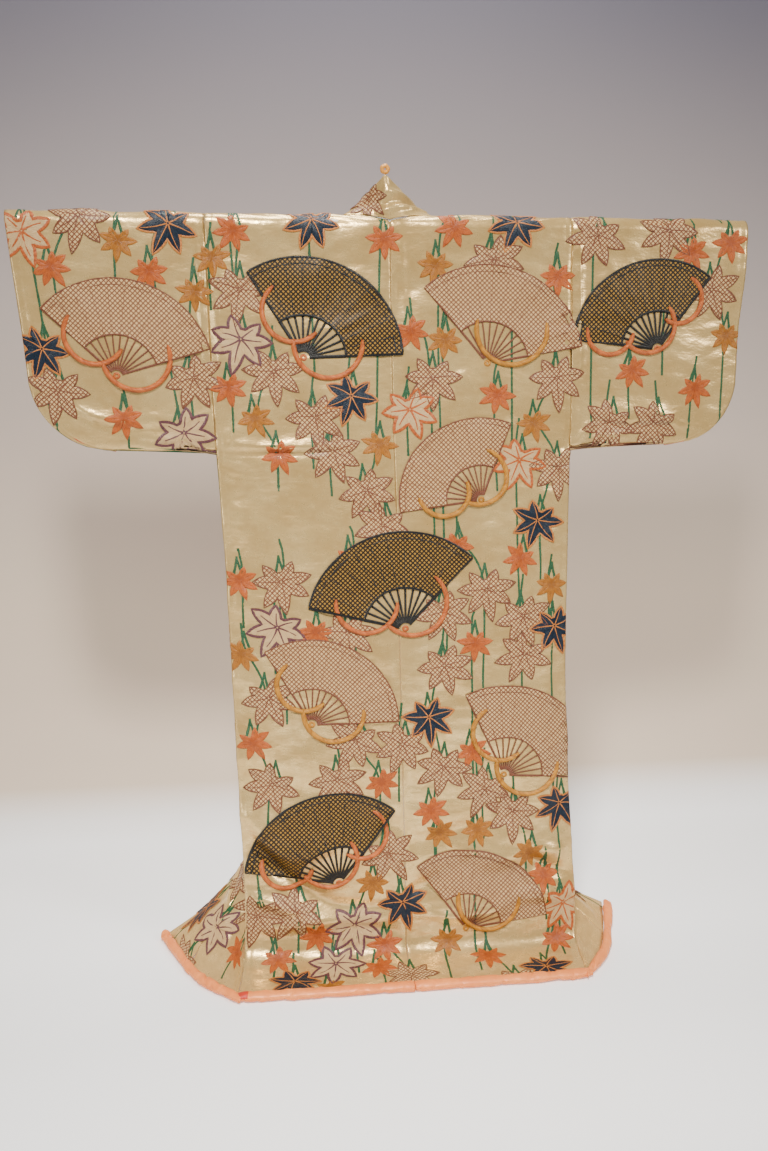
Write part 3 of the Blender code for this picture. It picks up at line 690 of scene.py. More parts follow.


# %% [markdown]
# ## Folds and creases
#
# Wadded silk creases softly. Each crease is one row of a table: where it lies on its piece, how long and how
# wide it is, which way it runs, how it bends, and how deep it goes. A ridge has a positive height and a
# trough a negative one. The rows are listed one by one and differ in length, depth and spacing, because even
# spacing would look pressed by a machine. Near the floor the cloth bunches, so the creases there are made
# wider and deeper. Low, slow waves over them stand for the wadding.

# %% Large folds, as in the solids
FOLD_COLUMNS = ("across", "down", "reach_across", "reach_down", "tilt", "height")
FOLD_ROWS = {
    "body_left": (
        (0.175, -1.130, 0.100, 0.045, 0.10, 0.0050),
        (0.180, -1.215, 0.110, 0.040, -0.05, -0.0060),
        (0.080, -1.180, 0.070, 0.045, 0.20, 0.0035),
        (0.275, -0.240, 0.022, 0.150, 0.00, 0.0030),
        (0.120, 0.800, 0.035, 0.300, 0.00, 0.0060),
    ),
    "body_right": (
        (0.190, -1.150, 0.090, 0.040, -0.15, 0.0045),
        (0.110, -1.220, 0.100, 0.040, 0.10, -0.0050),
        (0.160, -0.900, 0.030, 0.200, 0.00, 0.0030),
        (0.120, 0.800, 0.035, 0.300, 0.00, 0.0060),
    ),
    "sleeve_left": (
        (0.130, -0.355, 0.120, 0.022, 0.05, 0.0030),
        (0.150, -0.325, 0.130, 0.018, 0.05, -0.0025),
    ),
    "sleeve_right": (
        (0.120, -0.350, 0.120, 0.022, -0.05, 0.0030),
        (0.140, -0.322, 0.120, 0.018, -0.05, -0.0025),
    ),
}

# %% Creases, listed one by one
CREASE_COLUMNS = ("across", "down", "half_length", "half_width", "turn", "bend", "height")
CREASE_ROWS = {
    "body_left": (
        (0.195, -0.412, 0.095, 0.0045, 1, 0.02, -0.0026),
        (0.190, -0.403, 0.090, 0.0060, 1, 0.02, 0.0018),
        (0.180, -0.466, 0.085, 0.0040, -1, -0.03, -0.0012),
        (0.200, -0.459, 0.070, 0.0055, -1, -0.03, 0.0010),
        (0.170, -0.436, 0.100, 0.0080, 2, 0.05, 0.0008),
        (0.288, -0.160, 0.090, 0.0070, 90, 0.02, 0.0018),
        (0.276, -0.330, 0.070, 0.0065, 88, -0.04, -0.0014),
        (0.284, -0.452, 0.020, 0.0060, 28, 0.10, 0.0016),
        (0.280, -0.497, 0.026, 0.0060, -22, 0.10, -0.0015),
        (0.282, -0.540, 0.018, 0.0055, 18, 0.00, 0.0014),
        (0.279, -0.588, 0.030, 0.0070, -30, 0.15, -0.0016),
        (0.281, -0.655, 0.022, 0.0060, 24, 0.00, 0.0013),
        (0.276, -0.720, 0.034, 0.0080, -18, 0.10, -0.0014),
        (0.278, -0.815, 0.024, 0.0070, 20, 0.00, 0.0012),
        (0.270, -0.930, 0.040, 0.0090, 35, 0.10, 0.0018),
        (0.225, -1.185, 0.075, 0.0110, 40, 0.20, -0.0044),
        (0.245, -1.235, 0.050, 0.0090, 22, -0.10, 0.0038),
        (0.130, -1.245, 0.090, 0.0100, 12, 0.15, -0.0030),
        (0.200, -1.275, 0.080, 0.0080, -4, 0.05, 0.0022),
        (0.060, -1.290, 0.060, 0.0080, 8, -0.10, -0.0020),
        (0.262, -1.105, 0.060, 0.0120, 52, 0.15, 0.0030),
        (0.255, -1.150, 0.055, 0.0100, 46, 0.10, -0.0034),
        (0.160, -1.130, 0.060, 0.0130, -20, 0.20, 0.0026),
        (0.050, -1.090, 0.075, 0.0140, 15, 0.15, -0.0022),
        (0.240, -1.020, 0.060, 0.0120, 68, 0.10, -0.0018),
        (0.110, -0.740, 0.090, 0.0150, 35, 0.15, 0.0010),
        (0.060, -0.200, 0.050, 0.0120, 70, 0.10, 0.0010),
        (0.150, -0.070, 0.050, 0.0090, 30, 0.10, -0.0010),
        (0.030, -0.620, 0.110, 0.0100, 88, 0.04, -0.0009),
        (0.120, -0.860, 0.120, 0.0160, 60, 0.10, 0.0016),
        (0.150, 0.395, 0.110, 0.0060, 4, 0.05, -0.0018),
        (0.140, 0.380, 0.100, 0.0070, 4, 0.05, 0.0014),
        (0.060, 0.620, 0.180, 0.0120, 84, 0.10, 0.0022),
        (0.180, 0.560, 0.050, 0.0090, 30, 0.10, -0.0018),
        (0.110, 1.110, 0.080, 0.0110, 30, 0.20, -0.0034),
        (0.080, 1.200, 0.070, 0.0110, 10, 0.10, 0.0034),
        (0.120, 1.290, 0.080, 0.0090, -10, 0.10, -0.0026),
        (0.040, 1.330, 0.060, 0.0080, 12, 0.10, 0.0022),
    ),
    "body_right": (
        (0.200, -1.110, 0.060, 0.0120, -46, 0.15, -0.0030),
        (0.230, -1.140, 0.055, 0.0110, -38, 0.10, 0.0032),
        (0.150, -1.165, 0.060, 0.0120, -12, 0.20, 0.0028),
        (0.070, -1.120, 0.065, 0.0130, 18, 0.10, -0.0024),
        (0.290, -1.050, 0.060, 0.0100, 78, 0.10, -0.0022),
        (0.130, -0.850, 0.080, 0.0150, -40, 0.10, 0.0012),
        (0.262, -1.200, 0.055, 0.0095, -20, 0.20, -0.0044),
        (0.235, -1.245, 0.070, 0.0090, -8, -0.15, 0.0030),
        (0.285, -1.262, 0.034, 0.0070, -40, 0.00, -0.0028),
        (0.120, -1.272, 0.080, 0.0090, 4, 0.10, 0.0020),
        (0.060, -1.205, 0.070, 0.0110, 24, 0.10, -0.0022),
        (0.296, -0.400, 0.024, 0.0055, 42, 0.10, -0.0017),
        (0.292, -0.425, 0.028, 0.0060, 30, -0.10, 0.0016),
        (0.285, -0.470, 0.034, 0.0070, 18, 0.10, -0.0012),
        (0.250, -0.620, 0.090, 0.0110, 74, 0.06, 0.0014),
        (0.286, -0.760, 0.070, 0.0080, 84, 0.00, -0.0014),
        (0.110, -0.500, 0.090, 0.0100, 12, 0.10, 0.0009),
        (0.090, -0.300, 0.080, 0.0120, 64, 0.10, -0.0009),
        (0.210, -0.120, 0.060, 0.0100, -30, 0.10, 0.0010),
        (0.170, -1.020, 0.100, 0.0120, -50, 0.10, -0.0016),
        (0.160, 0.410, 0.100, 0.0060, -5, 0.05, -0.0016),
        (0.080, 0.600, 0.170, 0.0130, 95, 0.10, 0.0022),
        (0.190, 0.700, 0.060, 0.0090, -35, 0.10, -0.0018),
        (0.120, 1.100, 0.090, 0.0110, -25, 0.20, -0.0034),
        (0.090, 1.190, 0.070, 0.0100, -8, 0.10, 0.0032),
        (0.150, 1.280, 0.080, 0.0090, 14, 0.10, -0.0026),
        (0.291, -0.190, 0.120, 0.0065, 90, 0.00, 0.0015),
        (0.020, -0.150, 0.120, 0.0070, 91, 0.02, 0.0010),
    ),
    "okumi_left": (
        (0.060, 0.700, 0.120, 0.0110, 86, 0.05, 0.0018),
        (0.050, 1.150, 0.060, 0.0100, 20, 0.10, -0.0026),
        (0.070, 1.270, 0.060, 0.0090, -14, 0.10, 0.0024),
    ),
    "okumi_right": (
        (0.050, 0.760, 0.130, 0.0110, 94, 0.05, -0.0018),
        (0.060, 1.130, 0.060, 0.0100, -24, 0.10, 0.0026),
        (0.050, 1.260, 0.060, 0.0090, 10, 0.10, -0.0024),
    ),
    "sleeve_left": (
        (0.012, -0.140, 0.110, 0.0060, 90, 0.00, 0.0015),
        (0.140, -0.372, 0.100, 0.0065, 3, 0.15, -0.0026),
        (0.090, -0.390, 0.060, 0.0050, 0, 0.10, 0.0020),
        (0.215, -0.352, 0.050, 0.0070, 24, 0.20, 0.0022),
        (0.285, -0.030, 0.030, 0.0060, -48, 0.10, -0.0018),
        (0.296, -0.052, 0.026, 0.0055, -52, 0.10, 0.0016),
        (0.020, -0.200, 0.110, 0.0070, 88, 0.02, -0.0012),
        (0.180, -0.200, 0.120, 0.0200, 40, 0.10, 0.0014),
        (0.130, 0.366, 0.110, 0.0070, -3, 0.12, -0.0026),
        (0.170, 0.385, 0.060, 0.0060, 5, 0.10, 0.0020),
        (0.060, 0.220, 0.110, 0.0120, 80, 0.10, 0.0014),
    ),
    "sleeve_right": (
        (0.014, -0.160, 0.130, 0.0060, 90, 0.01, 0.0016),
        (0.026, -0.290, 0.070, 0.0055, 84, 0.02, -0.0012),
        (0.030, -0.378, 0.026, 0.0055, 64, 0.10, 0.0020),
        (0.048, -0.385, 0.022, 0.0050, 56, 0.10, -0.0018),
        (0.130, -0.375, 0.080, 0.0060, -3, 0.12, -0.0026),
        (0.200, -0.362, 0.060, 0.0060, -20, 0.15, 0.0024),
        (0.080, -0.392, 0.050, 0.0050, 0, 0.10, 0.0018),
        (0.060, -0.180, 0.120, 0.0140, 84, 0.05, 0.0012),
        (0.250, -0.120, 0.060, 0.0120, 60, 0.10, -0.0012),
        (0.150, 0.370, 0.100, 0.0070, 4, 0.12, -0.0026),
        (0.090, 0.386, 0.060, 0.0055, 0, 0.10, 0.0020),
        (0.200, 0.160, 0.100, 0.0120, 65, 0.10, 0.0014),
    ),
    "collar": (
        (0.020, 0.030, 0.050, 0.0050, 84, 0.10, 0.0020),
        (0.034, 0.036, 0.046, 0.0045, 80, 0.10, -0.0020),
        (0.048, 0.030, 0.040, 0.0050, 82, 0.10, 0.0018),
        (0.026, -0.030, 0.036, 0.0050, 96, 0.10, -0.0012),
        (0.030, 0.330, 0.090, 0.0090, 86, 0.02, -0.0012),
        (0.030, -0.380, 0.110, 0.0090, 94, 0.02, 0.0012),
    ),
}
# Every crease is deepened by the first factor. One more than LOW_DOWN metres from the shoulder is also
# widened and deepened by the second.
CREASE_STRENGTH, LOW_FOLDS = 2.3, 1.4
LOW_DOWN = 1.0


def crease_heights(piece, across, down):
    """How far the folds and creases lift the cloth of a piece, over arrays of places on it."""
    height = np.zeros_like(across)
    for row in FOLD_ROWS.get(piece, ()):
        fold = dict(zip(FOLD_COLUMNS, row))
        u = across - fold["across"]
        v = down - fold["down"] - u * fold["tilt"]
        lift = np.exp(-((u / fold["reach_across"]) ** 2) - (v / fold["reach_down"]) ** 2)
        height += fold["height"] * lift
    for row in CREASE_ROWS.get(piece, ()):
        crease = dict(zip(CREASE_COLUMNS, row))
        u, v = across - crease["across"], down - crease["down"]
        c, s = math.cos(math.radians(crease["turn"])), math.sin(math.radians(crease["turn"]))
        low = LOW_FOLDS if abs(crease["down"]) > LOW_DOWN else 1.0
        run = (u * c + v * s) / crease["half_length"]
        off = -u * s + v * c - crease["bend"] * run**2 * crease["half_length"]
        press = np.exp(-(run**4) - (off / (low * crease["half_width"])) ** 2)
        height += CREASE_STRENGTH * low * crease["height"] * press
    return height


# %% The wadding's slow waves
LONG_WAVE, SHORT_WAVE = 0.00060, 0.00030


def wadding(across, down, seed):
    """Low soft waves: a few long ones in every direction, and shorter ones whose crests run across."""
    rng = random.Random(seed)
    height = np.zeros_like(across)

    def wave(lengths, turns):
        length, turn, phase = rng.uniform(*lengths), rng.uniform(*turns), rng.uniform(0, 6.28)
        return np.sin((across * math.cos(turn) + down * math.sin(turn)) * 6.28 / length + phase)

    for _ in range(10):
        height += LONG_WAVE * wave((0.07, 0.20), (0, math.pi))
    for _ in range(7):
        short = wave((0.024, 0.050), (1.1, 2.0))
        wide, tall, start = rng.uniform(12, 30), rng.uniform(8, 20), rng.uniform(0, 6.28)
        height += SHORT_WAVE * short * (0.5 + 0.5 * np.sin(across * wide + down * tall + start))
    return height


# %% [markdown]
# ## Cutting and hanging the cloth
#
# Each sewn piece starts as a flat grid, like the cut cloth on the table. Its points are moved to where the
# cloth hangs, the creases are pressed in along the cloth's own outward direction, and Solidify gives it the
# thickness of wadded silk, with the lining's red on the inside. A seam is a shallow groove, because the
# stitches pull the wadding flat there. Every point remembers its place on the flat cloth, so that weave and
# dye follow the piece and not the room.

# %% One piece of cloth
PANELS = {}
SLEEVE_DENT = 0.0012
HEM_FADE, SIDE_FADE, CENTRE_FADE = 0.012, 0.026, 0.010
FLOOR_CLEARANCE = 0.0003


def cloth_rows(high, pitch, *also):
    """Rows down the cloth, closer together where it bends over the crossbar."""
    rows = [*np.linspace(0, HUG_DOWN, 9), *np.arange(HUG_DOWN + pitch, high - pitch / 2, pitch), high, *also]
    return sorted({round(float(row), 5) for row in rows})


def both_sides(rows):
    return [-row for row in reversed(rows)] + [row for row in rows if row > 0]


def shares_of(columns):
    """Columns across the cloth, closer together toward the seams."""
    t = np.linspace(0, 1, columns + 1)
    return t - 0.45 * np.sin(2 * math.pi * t) / (2 * math.pi)


def unit_normals(points, sign=1.0):
    normals = np.cross(np.gradient(points, axis=1), np.gradient(points, axis=0))
    length = np.linalg.norm(normals, axis=2, keepdims=True)
    return sign * normals / np.maximum(length, 1e-12)


def bell(distance, reach):
    """1 at no distance, falling smoothly to nothing past the reach."""
    return np.exp(-((distance / reach) ** 2))


def hang(name, side, row_of, shares, downs, width, wall, outside, seams, seed, at=0.25):
    """The outer face of a piece as arrays, kept in PANELS for the embroidery too.

    "outside" is the way the outer face looks at the share "at" of the rows. A sleeve's dents stay
    shallow, because its two layers lie close together. Folds fade out at the hem, the sides and the
    centre-back seam, where stitches hold the cloth, and nothing goes under the floor."""
    zero = np.array(GARMENT_ZERO)
    middle = np.array([[tuple(p) for p in row_of(side, shares, down)] for down in downs]) + zero
    steps = np.linalg.norm(np.diff(middle, axis=1), axis=2)
    widths = steps.sum(axis=1)
    check = unit_normals(middle)[int(len(downs) * at), len(shares) // 2]
    sign = 1.0 if check @ np.array(outside) > 0 else -1.0
    down = np.repeat(np.array(downs)[:, None], len(shares), axis=1)
    across = np.array(shares)[None, :] * widths[:, None]
    height = crease_heights(name, np.array(shares)[None, :] * width + 0 * down, down)
    height += wadding(across, down, seed)
    pucker = 1 + 0.6 * np.sin(down * 370 + 3 * np.sin(down * 41)) * np.sin(down * 23 + seed)
    if name.startswith("sleeve"):
        height = np.where(height < 0, -SLEEVE_DENT * np.tanh(-height / SLEEVE_DENT), height)
    if name.startswith(("body", "okumi")):
        near_hem = bell(abs(down).max() - abs(down), HEM_FADE)
        near_side = bell(widths[:, None] - across, SIDE_FADE) * ((down > 0) | (height < 0))
        near_centre = bell(across, CENTRE_FADE) * (down < 0) * name.startswith("body")
        height *= (1 - 0.8 * near_hem) * (1 - 0.85 * near_side) * (1 - near_centre)
    for edge, depth, reach, inset in seams:
        from_edge = (across if edge == 0 else widths[:, None] - across) - inset
        height -= depth * bell(from_edge, reach) * pucker
    surface = middle + unit_normals(middle, sign) * (wall / 2 + height)[:, :, None]
    surface[:, :, 2] = np.maximum(surface[:, :, 2], wall + FLOOR_CLEARANCE)
    PANELS[name] = {
        "shares": np.array(shares),
        "downs": np.array(downs),
        "surface": surface,
        "normals": unit_normals(surface, sign),
        "widths": widths,
        "across": across,
        "down": down,
        "sign": sign,
    }
    return PANELS[name]


def grid_place(vert, columns, rows):
    """The column and row of a point in a grid that create_grid has just made with size 0.5."""
    return round((vert.co.x + 0.5) * columns), round((vert.co.y + 0.5) * rows)


def finished_mesh(name, bm, *finishes):
    mesh = bpy.data.meshes.new(name)
    bm.to_mesh(mesh)
    bm.free()
    for finish in finishes:
        mesh.materials.append(finish)
    mesh.shade_smooth()
    return mesh


def finish_piece(piece):
    bpy.context.scene.collection.objects.link(piece)
    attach(piece, "root")
    return piece


def sew(name, panel, wall, outer, inner):
    """The hung piece as a mesh: a grid moved to the panel's points, then given its thickness."""
    surface, signed = panel["surface"], -1 if name.endswith("_left") else 1
    rows, columns = surface.shape[0] - 1, surface.shape[1] - 1
    bm = bmesh.new()
    cloth = bm.verts.layers.float_vector.new("cloth")
    bmesh.ops.create_grid(bm, x_segments=columns, y_segments=rows, size=0.5)
    for vert in bm.verts:
        i, j = grid_place(vert, columns, rows)
        vert[cloth] = (signed * panel["across"][j, i], panel["down"][j, i], 0)
        vert.co = surface[j, i]
    if panel["sign"] < 0:
        bmesh.ops.reverse_faces(bm, faces=bm.faces)
    piece = bpy.data.objects.new(name + "_cloth", finished_mesh(name, bm, outer, inner))
    thickness = piece.modifiers.new("wadding", "SOLIDIFY")
    thickness.thickness = wall
    thickness.offset = -1.0
    thickness.material_offset = 1
    finish_piece(piece)
    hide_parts(name)
    area = float((panel["widths"][:-1] * np.diff(panel["downs"])).sum())
    print(name, "grid", columns, "x", rows, "cloth", round(area, 3), "m2")
    return piece, area


# %% [markdown]
# ### Body, sleeves and overlap panels
#
# A body panel runs in one length from the back hem over the shoulder to the front hem, so one grid makes it,
# and there is no shoulder seam. A sleeve is one length folded over the shoulder line. The overlap panels
# widen each front, and the collar closes the neck.

# %% Body panels
SEAM = 0.0011


def sewn_panel(kind, side, row_of, columns, rows, width, outside, seams, seed):
    """A satin piece with a red lining, hung and sewn, and its area."""
    name = f"{kind}_{side}"
    panel = hang(name, side, row_of, shares_of(columns), rows, width, WALL, outside, seams, seed)
    return sew(name, panel, WALL, SATIN, LINING)


body_rows = both_sides(cloth_rows(HEM_DOWN, 0.0072, COLLAR_END, OKUMI_TIP))
for seed, side in enumerate(("left", "right")):
    seams = [(0, SEAM, 0.0032, 0), (1, SEAM, 0.0040, 0), (1, 0.0010, 0.0022, 0.010)]
    sizes = (58, body_rows, BODY_WIDTH)
    piece, area = sewn_panel("body", side, body_row, *sizes, (0, -1, 0), seams, 11 + seed)

# %% Sleeves
sleeve_rows = both_sides(cloth_rows(SLEEVE_DROP, 0.0064))
for seed, side in enumerate(("left", "right")):
    seams = [(0, SEAM, 0.0040, 0), (1, 0.0008, 0.0035, 0), (1, 0.0009, 0.0022, 0.011)]
    width = SLEEVE_SIZES[side][0]
    sizes = (50, sleeve_rows, width)
    piece, area = sewn_panel("sleeve", side, sleeve_row, *sizes, (0, -1, 0), seams, 21 + seed)

# %% Overlap panels
okumi_rows = cloth_rows(HEM_DOWN, 0.0072, OKUMI_TIP, COLLAR_END, COLLAR_FREE + 0.0005)
okumi_rows = [row for row in okumi_rows if row >= OKUMI_TIP]
for seed, side in enumerate(("left", "right")):
    seams = [(0, SEAM, 0.0032, 0)]
    sizes = (20, okumi_rows, OKUMI_WIDTH)
    piece, area = sewn_panel("okumi", side, okumi_row, *sizes, (0, 1, 0.2), seams, 31 + seed)

# %% Collar
collar_runs = [*np.linspace(0, NECK_HALF, 15), *(NECK_HALF + np.array(cloth_rows(COLLAR_END, 0.0072)[1:]))]
collar_runs = [-run for run in reversed(collar_runs)] + collar_runs[1:]
grid = (shares_of(26), collar_runs)
panel = hang("collar", None, collar_row, *grid, COLLAR_WIDTH, COLLAR_WALL, (0, -1, 0), [], 41, at=0.5)
piece, _ = sew("collar", panel, COLLAR_WALL, SATIN, SATIN)

# %% [markdown]
# ### The padded hem
#
# The lining turns out at the hem as a thick roll of cotton-filled silk. On the floor it crumples: short
# folds run round it, it swells and thins slowly along its run, and it is squeezed a little at its ends. A
# closed tube follows each panel's hem. It starts as a grid, is moved into a ring round the hem line, and the
# ring's edges are merged and its ends closed. At the back's left corner the roll has burst open, and the red
# lining shows.


# %% Hem rolls
def hem_points(row_of, side, down, shares):
    """Points along a panel's hem and the level direction in which its cloth ends."""
    here = np.array([tuple(p) for p in row_of(side, shares, down)])
    before = np.array([tuple(p) for p in row_of(side, shares, down - math.copysign(0.012, down))])
    ending = here - before
    ending[:, 2] = 0
    return here + np.array(GARMENT_ZERO), ending / np.linalg.norm(ending, axis=1, keepdims=True)


ROLL_SIDES = 20
ROLL_BULGE = 0.0010
ROUND_SCALE = 0.009
CRUSH_REACH = 0.016


def run_lengths(points):
    """The distance run to each of an array of points."""
    return np.concatenate([[0], np.cumsum(np.linalg.norm(np.diff(points, axis=0), axis=1))])


def roll(name, row_of, side, down, columns, seed, crush, past, open_end):
    """A crumpled padded tube along a hem, crushed at its last end and running "past" the seam there.

    At an open end the red lining shows in the crush."""
    rng = random.Random(seed)
    shares = np.linspace(0.002, 0.998, columns + 1)
    here, ending = hem_points(row_of, side, down, shares)
    if past:
        extra = np.linspace(0, 1, 6)[1:, None]
        way = (here[-1] - here[-3]) / np.linalg.norm(here[-1] - here[-3])
        here = np.vstack([here, here[-1] + extra * past * way])
        ending = np.vstack([ending, np.repeat(ending[-1:], 5, axis=0)])
        columns += 5
    runs = run_lengths(here)
    folds = []
    for _ in range(int(runs[-1] / 0.006)):
        centre = runs[-1] * (1 - rng.random() ** 1.5)
        fold = (centre, rng.uniform(0, 6.28), rng.uniform(0.0018, 0.0060))
        near_end = math.exp(-(((runs[-1] - centre) / 0.03) ** 2))
        deep = rng.choice((-1.8, -1.2, 1.0)) * (1 + 1.6 * crush * near_end)
        folds.append((*fold, rng.uniform(0.5, 1.5), rng.uniform(-0.007, 0.007), deep))
    bm = bmesh.new()
    cloth = bm.verts.layers.float_vector.new("cloth")
    bmesh.ops.create_grid(bm, x_segments=columns, y_segments=ROLL_SIDES, size=0.5)
    for vert in bm.verts:
        i, k = grid_place(vert, columns, ROLL_SIDES)
        angle = 2 * math.pi * k / ROLL_SIDES
        bulge = 0.0
        for centre, turn, width, spread, slant, deep in folds:
            apart = (angle - turn + math.pi) % (2 * math.pi) - math.pi
            run = (runs[i] - centre - slant * apart) / width
            if abs(run) < 3:
                bulge += ROLL_BULGE * deep * math.exp(-(run**2) - (apart / spread) ** 2)
        ends = min(runs[i], runs[-1] - runs[i])
        squeeze = 1 - 0.08 * math.exp(-((ends / 0.005) ** 2))
        squeeze -= crush * math.exp(-(((runs[-1] - runs[i]) / CRUSH_REACH) ** 2))
        slow = 1 + 0.06 * math.sin(runs[i] * 70 + seed) + 0.04 * math.sin(runs[i] * 151 + 2 * seed)
        level = (ROLL_DEPTH / 2 * squeeze * slow + bulge) * math.cos(angle)
        rise = (ROLL_HEIGHT / 2 * squeeze * slow + bulge) * math.sin(angle)
        middle = here[i] + ending[i] * (ROLL_DEPTH / 2 + SEAM_SPACE)
        vert[cloth] = (runs[i], angle * ROUND_SCALE, seed)
        vert.co = (*(middle + ending[i] * level)[:2], ROLL_HEIGHT / 2 + rise)
        vert.co.z = max(vert.co.z, 0.0004)
    bmesh.ops.remove_doubles(bm, verts=bm.verts, dist=0.00005)
    bmesh.ops.holes_fill(bm, edges=[edge for edge in bm.edges if edge.is_boundary])
    bmesh.ops.recalc_face_normals(bm, faces=bm.faces)
    for face in bm.faces:
        run = sum(vert[cloth].x for vert in face.verts) / len(face.verts)
        turn = sum(vert[cloth].y for vert in face.verts) / len(face.verts) / ROUND_SCALE
        if open_end and abs(runs[-1] - CRUSH_REACH - run) < 0.010 and 0.3 < turn < 2.2:
            face.material_index = 1
    mesh = finished_mesh(name, bm, SALMON, LINING)
    piece = finish_piece(bpy.data.objects.new(name + "_silk", mesh))
    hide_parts(name)


# Name, the panel's rows, back (-1) or front (1), columns, how crushed the end is, and how far past the seam.
ROLL_ROWS = (
    ("hem_roll_back", body_row, -1, 130, 0.30, 0.008),
    ("hem_roll_front", body_row, 1, 130, 0.25, 0.010),
    ("hem_roll_okumi", okumi_row, 1, 52, 0.10, 0.0),
)
for seed, (name, row_of, way, columns, crush, past) in enumerate(ROLL_ROWS):
    for side in ("left", "right"):
        number = 50 + 2 * seed + (side == "left")
        burst = (name, side) == ("hem_roll_back", "left")
        roll(f"{name}_{side}", row_of, side, way * HEM_DOWN, columns, number, crush, past, burst)
print("hem rolls", 2 * len(ROLL_ROWS))

# %% [markdown]
# ### Gold loop and stand
#
# A small loop of thick gold silk stands at the top of the collar. It is a ring, so a circle is spun into it,
# and then pinched a little, as soft cord would be. The stand is only painted: its solids are already right.

# %% Loop
bm = bmesh.new()
cloth = bm.verts.layers.float_vector.new("cloth")
tube = LOOP_THICKNESS / 2
ring = LOOP_ACROSS / 2 - tube
circle = bmesh.ops.create_circle(bm, segments=16, radius=tube)["verts"]
bmesh.ops.rotate(bm, verts=circle, cent=(0, 0, 0), matrix=Matrix.Rotation(math.pi / 2, 3, "X"))
bmesh.ops.translate(bm, verts=circle, vec=(ring, 0, 0))
whole = bm.verts[:] + bm.edges[:]
bmesh.ops.spin(bm, geom=whole, axis=(0, 0, 1), cent=(0, 0, 0), angle=2 * math.pi, steps=40, use_merge=True)
bmesh.ops.rotate(bm, verts=bm.verts, cent=(0, 0, 0), matrix=Matrix.Rotation(math.pi / 2, 3, "X"))
loop_centre = GARMENT_ZERO + Vector(COLLAR_APEX) + Vector((0, 0, ring + tube + SEAM_GAP))
for vert in bm.verts:
    turn = math.atan2(vert.co.z, vert.co.x)
    vert.co *= 1 + 0.03 * math.sin(5 * turn + 1) + 0.02 * math.sin(11 * turn)
    vert[cloth] = (turn * ring, vert.co.y, 3)
    vert.co += loop_centre
bmesh.ops.recalc_face_normals(bm, faces=bm.faces)
mesh = finished_mesh("collar_loop", bm, GOLD_LOOP)
loop = finish_piece(bpy.data.objects.new("collar_loop_silk", mesh))
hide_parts("collar_loop")

# %% Stand paint
PAINT, tree, shader = new_material("stand paint", 0.5)
place = add(tree, "ShaderNodeTexCoord").outputs["Object"]
grain = noise(tree, place, 420.0, 3.0)
colour = mixed(tree, noise(tree, place, 9.0, 5.0), (0.62, 0.61, 0.58), (0.72, 0.71, 0.68))
tree.links.new(colour, shader.inputs["Base Color"])
tree.links.new(maths(tree, "MULTIPLY_ADD", grain, 0.2, 0.42), shader.inputs["Roughness"])
bumped(tree, shader, grain, 0.0002, 0.4)
for node in ("stand_base", "stand_post", "stand_crossbar", "stand_peg"):
    for stand_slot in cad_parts[node].material_slots:
        stand_slot.material = PAINT

# %% Floor that sweeps up behind
FLOOR_FRONT, SWEEP_START, SWEEP_RADIUS, WALL_TOP, FLOOR_WIDTH = -4.0, 0.34, 0.30, 4.5, 12
floor_run = SWEEP_START - FLOOR_FRONT
sweep_run = SWEEP_RADIUS * math.pi / 2
bm = bmesh.new()
bmesh.ops.create_grid(bm, x_segments=2, y_segments=60, size=0.5)
for vert in bm.verts:
    run = (vert.co.y + 0.5) * (floor_run + sweep_run + WALL_TOP)
    bent = min(max(run - floor_run, 0), sweep_run) / SWEEP_RADIUS
    y = FLOOR_FRONT + min(run, floor_run) + SWEEP_RADIUS * math.sin(bent)
    z = SWEEP_RADIUS * (1 - math.cos(bent)) + max(run - floor_run - sweep_run, 0)
    vert.co = (vert.co.x * FLOOR_WIDTH, y, z)
# The paper glows through its own emission: a painted glow that lights the floor and wall as fill light would.
PAPER_WITH_PAINTED_GLOW, tree, shader = new_material("backdrop paper", 0.9, Emission_Strength=0.34)
place = add(tree, "ShaderNodeTexCoord").outputs["Object"]
up = add(tree, "ShaderNodeSeparateXYZ", {0: place}).outputs["Z"]
# Warm and light low down, darker and bluer toward the top: painted shade on the wall.
backdrop_painted_shade = mixed(tree, ranged(tree, up, 0.5, 2.1), (0.60, 0.485, 0.375), (0.16, 0.165, 0.235))
paper = mixed(tree, ranged(tree, up, 0.02, 0.10), (0.90, 0.90, 0.90), backdrop_painted_shade)
tree.links.new(paper, shader.inputs["Base Color"])
tree.links.new(paper, shader.inputs["Emission Color"])
behind = add(tree, "ShaderNodeNewGeometry").outputs["Backfacing"]
tree.links.new(maths(tree, "SUBTRACT", 1.0, behind), shader.inputs["Alpha"])
studio_floor = bpy.data.objects.new("studio_floor", finished_mesh("studio_floor", bm, PAPER_WITH_PAINTED_GLOW))
bpy.context.scene.collection.objects.link(studio_floor)

# %% [markdown]
# ## Embroidery
#
# The robe is covered with maple leaves that hang in sprays, in flat silks, satin stitch and fine outlines,
# and with large open fans tied with silk cords. Stitching lies on the cloth and bends with it, so each motif
# is first drawn flat, as a grid moved into its shape, with a small height for its padding. It is then laid on
# the hung cloth: a point across and down becomes a point on the creased surface, lifted along the cloth's
# outward direction.


